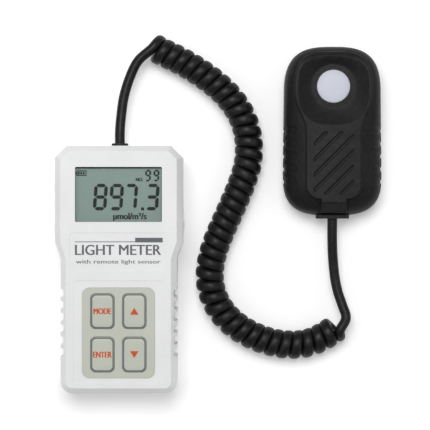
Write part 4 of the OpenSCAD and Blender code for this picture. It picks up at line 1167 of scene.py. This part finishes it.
def groove_share(x, y):
    """Six slanted grooves with round ends, clipped to the groove field: 1 in a groove's middle."""
    dy = y - GROOVES_Y
    across = (dy - x) / math.sqrt(2)
    nearest = np.clip(np.round(across / GROOVE_PITCH - 0.5), -3, 2) + 0.5
    off = across - nearest * GROOVE_PITCH
    beyond = np.maximum(np.abs(x) - FIELD_HALF_X, np.abs(dy) - FIELD_HALF_Y)
    reach = np.hypot(np.maximum(beyond, 0) * 1.1, off)
    return 1 - smooth_step((reach - 0.45 * MM) / (0.5 * MM))


def panel_height(x, y):
    """Top of the panel: flat with a slight crown, sunk into the dish, cut by the grooves, kept near the dome
    at the cord's end, and carried on there as a flat tongue."""
    flat = PANEL_TOP - 0.35 * MM * (x / (20.5 * MM)) ** 2
    flat = flat - 0.9 * MM * np.clip((y - 100 * MM) / (PANEL_END - 100 * MM), 0, 1) ** 2
    follow = head_height(x * 0.6, y) + 0.9 * MM + 2.4 * MM * smooth_step((46 * MM - y) / (10 * MM))
    tongue = np.where(np.abs(x) < 6.8 * MM, flat - 1.1 * MM * smooth_step((38 * MM - y) / (10 * MM)), 0)
    top = np.minimum(flat, np.where(y < 40 * MM, np.maximum(follow, tongue), follow))
    share = dish_floor_share(x, y)
    bowl = DISH_FLOOR + (top - DISH_FLOOR) * share**1.25
    return np.where(share < 1, bowl, top) - 0.55 * MM * groove_share(x, y)


def sleeve(name, x, y, top, base, material, sharp_deg=40.0):
    """Closed solid over a grid of rows: each row is its top line from left to right and its base line back,
    and flat caps close the first and last row."""
    columns = x.shape[1]
    upper = np.stack([x + SENSOR.x, y, top], -1)
    back = [0, columns // 4, columns // 2, -columns // 4, -1]
    lower = np.stack([x + SENSOR.x, y, np.broadcast_to(base, x.shape)], -1)[:, ::-1][:, back]
    return loft(name, np.concatenate([upper, lower], axis=1), material, sharp_deg)


class LIGHTMETER_OT_sensor(bpy.types.Operator):
    """Sensor head: domed front with thumb scallops, pear panel with its dish and grooves, and back cover"""
    bl_idname = "lightmeter.sensor"
    bl_label = "Sensor Head"

    def execute(self, context):
        black = FINISHES["sensor_black"]
        y, x = head_grid(HEAD_LOW.y, HEAD_HIGH.y, 330, 130)
        top = head_height(x, y)
        # inside the panel's outline the dome drops out of sight below it
        hidden = smooth_step((panel_half_width(y) - np.abs(x) - 0.5 * MM) / (0.8 * MM))
        hidden = hidden * (y > 30.2 * MM) * (y < 113.0 * MM)
        top = top - hidden * np.maximum(top - 17.5 * MM, 0)
        top = np.maximum(top, HEAD_LOW.z)
        cut = scallop_depth(x, y) * 0.55 * MM
        side = np.clip(head_radius(x, y), 0, 1) ** 4
        dome = sleeve("sensor_dome", x - np.sign(x) * cut * side, y, top - cut * (1 - side) * 0.9,
                      HEAD_LOW.z, black, 50)
        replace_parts(ride(dome, "sensor_head"), "sensor_front_cover")

        y, x = panel_grid(PANEL_START, PANEL_END, 340, 150)
        top = panel_height(x, y)
        half = panel_half_width(y)
        from_edge = np.minimum(half - np.abs(x), np.minimum(PANEL_END - y, y - PANEL_START) * 1.2)
        fillet = 0.9 * MM
        short = np.clip(fillet - from_edge, 0, fillet)
        top = top - (fillet - np.sqrt(fillet**2 - short**2))
        panel = sleeve("sensor_panel", x, y, top, 17.0 * MM, black, 50)
        ride(panel, "sensor_head")

        softened_copy("sensor_rear_cover", "sensor_back", black, 0.3 * MM)
        make_diffuser()
        return {"FINISHED"}


def head_grid(low, high, rows, columns):
    """Grid over the head's outline: rows crowd towards both ends, points of a row towards both sides."""
    t = np.linspace(0, math.pi, rows)
    y = low + (high - low) * (1 - np.cos(t)) / 2
    end, half = head_measures(y)
    half = half * np.maximum(1 - end**3, 1e-9) ** (1 / 3)
    x = half[:, None] * np.sin(np.linspace(-math.pi / 2, math.pi / 2, columns))[None]
    return np.broadcast_to(y[:, None], x.shape), x


def panel_grid(low, high, rows, columns):
    """Grid over the panel's pear outline, with more rows towards its round top end."""
    t = np.linspace(0, 1, rows)
    y = low + (high - low) * (0.55 * t + 0.45 * np.sin(t * math.pi / 2))
    half = np.maximum(panel_half_width(y), 0.05 * MM)
    a = np.linspace(-1, 1, columns)
    a = 0.6 * a + 0.4 * np.sin(a * math.pi / 2)
    x = half[:, None] * a[None]
    return np.broadcast_to(y[:, None], x.shape), x


def make_diffuser():
    """Opal disc turned from a profile: straight side, rounded rim and a low crown,
    z = top - crown * (r / R)^2."""
    radius, crown = 8.6 * MM, 0.55 * MM
    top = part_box("diffuser")[1].z
    across = np.array([1.0, 1.0, 0.985, 0.955, 0.9, 0.75, 0.55, 0.35, 0.15, 0.02]) * radius
    heights = top - crown * (across / radius) ** 2
    heights[0], heights[1] = DISH_FLOOR - 2.0 * MM, heights[1] - 0.35 * MM
    heights[2] -= 0.12 * MM
    around = np.linspace(0, 2 * math.pi, 96, endpoint=False)
    loops = np.stack([across[:, None] * np.cos(around) + SENSOR.x, across[:, None] * np.sin(around) + EYE_Y,
                      np.broadcast_to(heights[:, None], (len(across), 96))], -1)
    disc = ride(loft("opal_diffuser", loops, FINISHES["diffuser_white"], 60), "sensor_head")
    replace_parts(disc, "diffuser")


SETTINGS = {"lightmeter_look": LookSettings, "lightmeter_cord": CordSettings,
            "lightmeter_case": CaseSettings, "lightmeter_stage": StageSettings}
STEPS = [LIGHTMETER_OT_stage, LIGHTMETER_OT_finish_nodes, LIGHTMETER_OT_cord, LIGHTMETER_OT_case,
         LIGHTMETER_OT_display, LIGHTMETER_OT_keypad, LIGHTMETER_OT_label, LIGHTMETER_OT_sensor]


class LIGHTMETER_PT_panel(bpy.types.Panel):
    """The steps that build the light meter, in order"""
    bl_idname = "LIGHTMETER_PT_panel"
    bl_label = "Light Meter"
    bl_space_type = "VIEW_3D"
    bl_region_type = "UI"
    bl_category = "Light Meter"

    def draw(self, context):
        for name in SETTINGS:
            box = self.layout.box()
            for key in getattr(context.scene, name).bl_rna.properties.keys():
                if key not in ("rna_type", "name"):
                    box.prop(getattr(context.scene, name), key)
        for step in STEPS:
            self.layout.operator(step.bl_idname)


def register():
    for group in (*SETTINGS.values(), *STEPS, LIGHTMETER_PT_panel):
        bpy.utils.register_class(group)
    for name, group in SETTINGS.items():
        setattr(bpy.types.Scene, name, PointerProperty(type=group))


def unregister():
    for name in SETTINGS:
        delattr(bpy.types.Scene, name)
    for group in (LIGHTMETER_PT_panel, *reversed(STEPS), *SETTINGS.values()):
        bpy.utils.unregister_class(group)


def main():
    register()
    for step in STEPS:
        kind, name = step.bl_idname.split(".")
        getattr(getattr(bpy.ops, kind), name)()


if __name__ == "__main__":
    main()
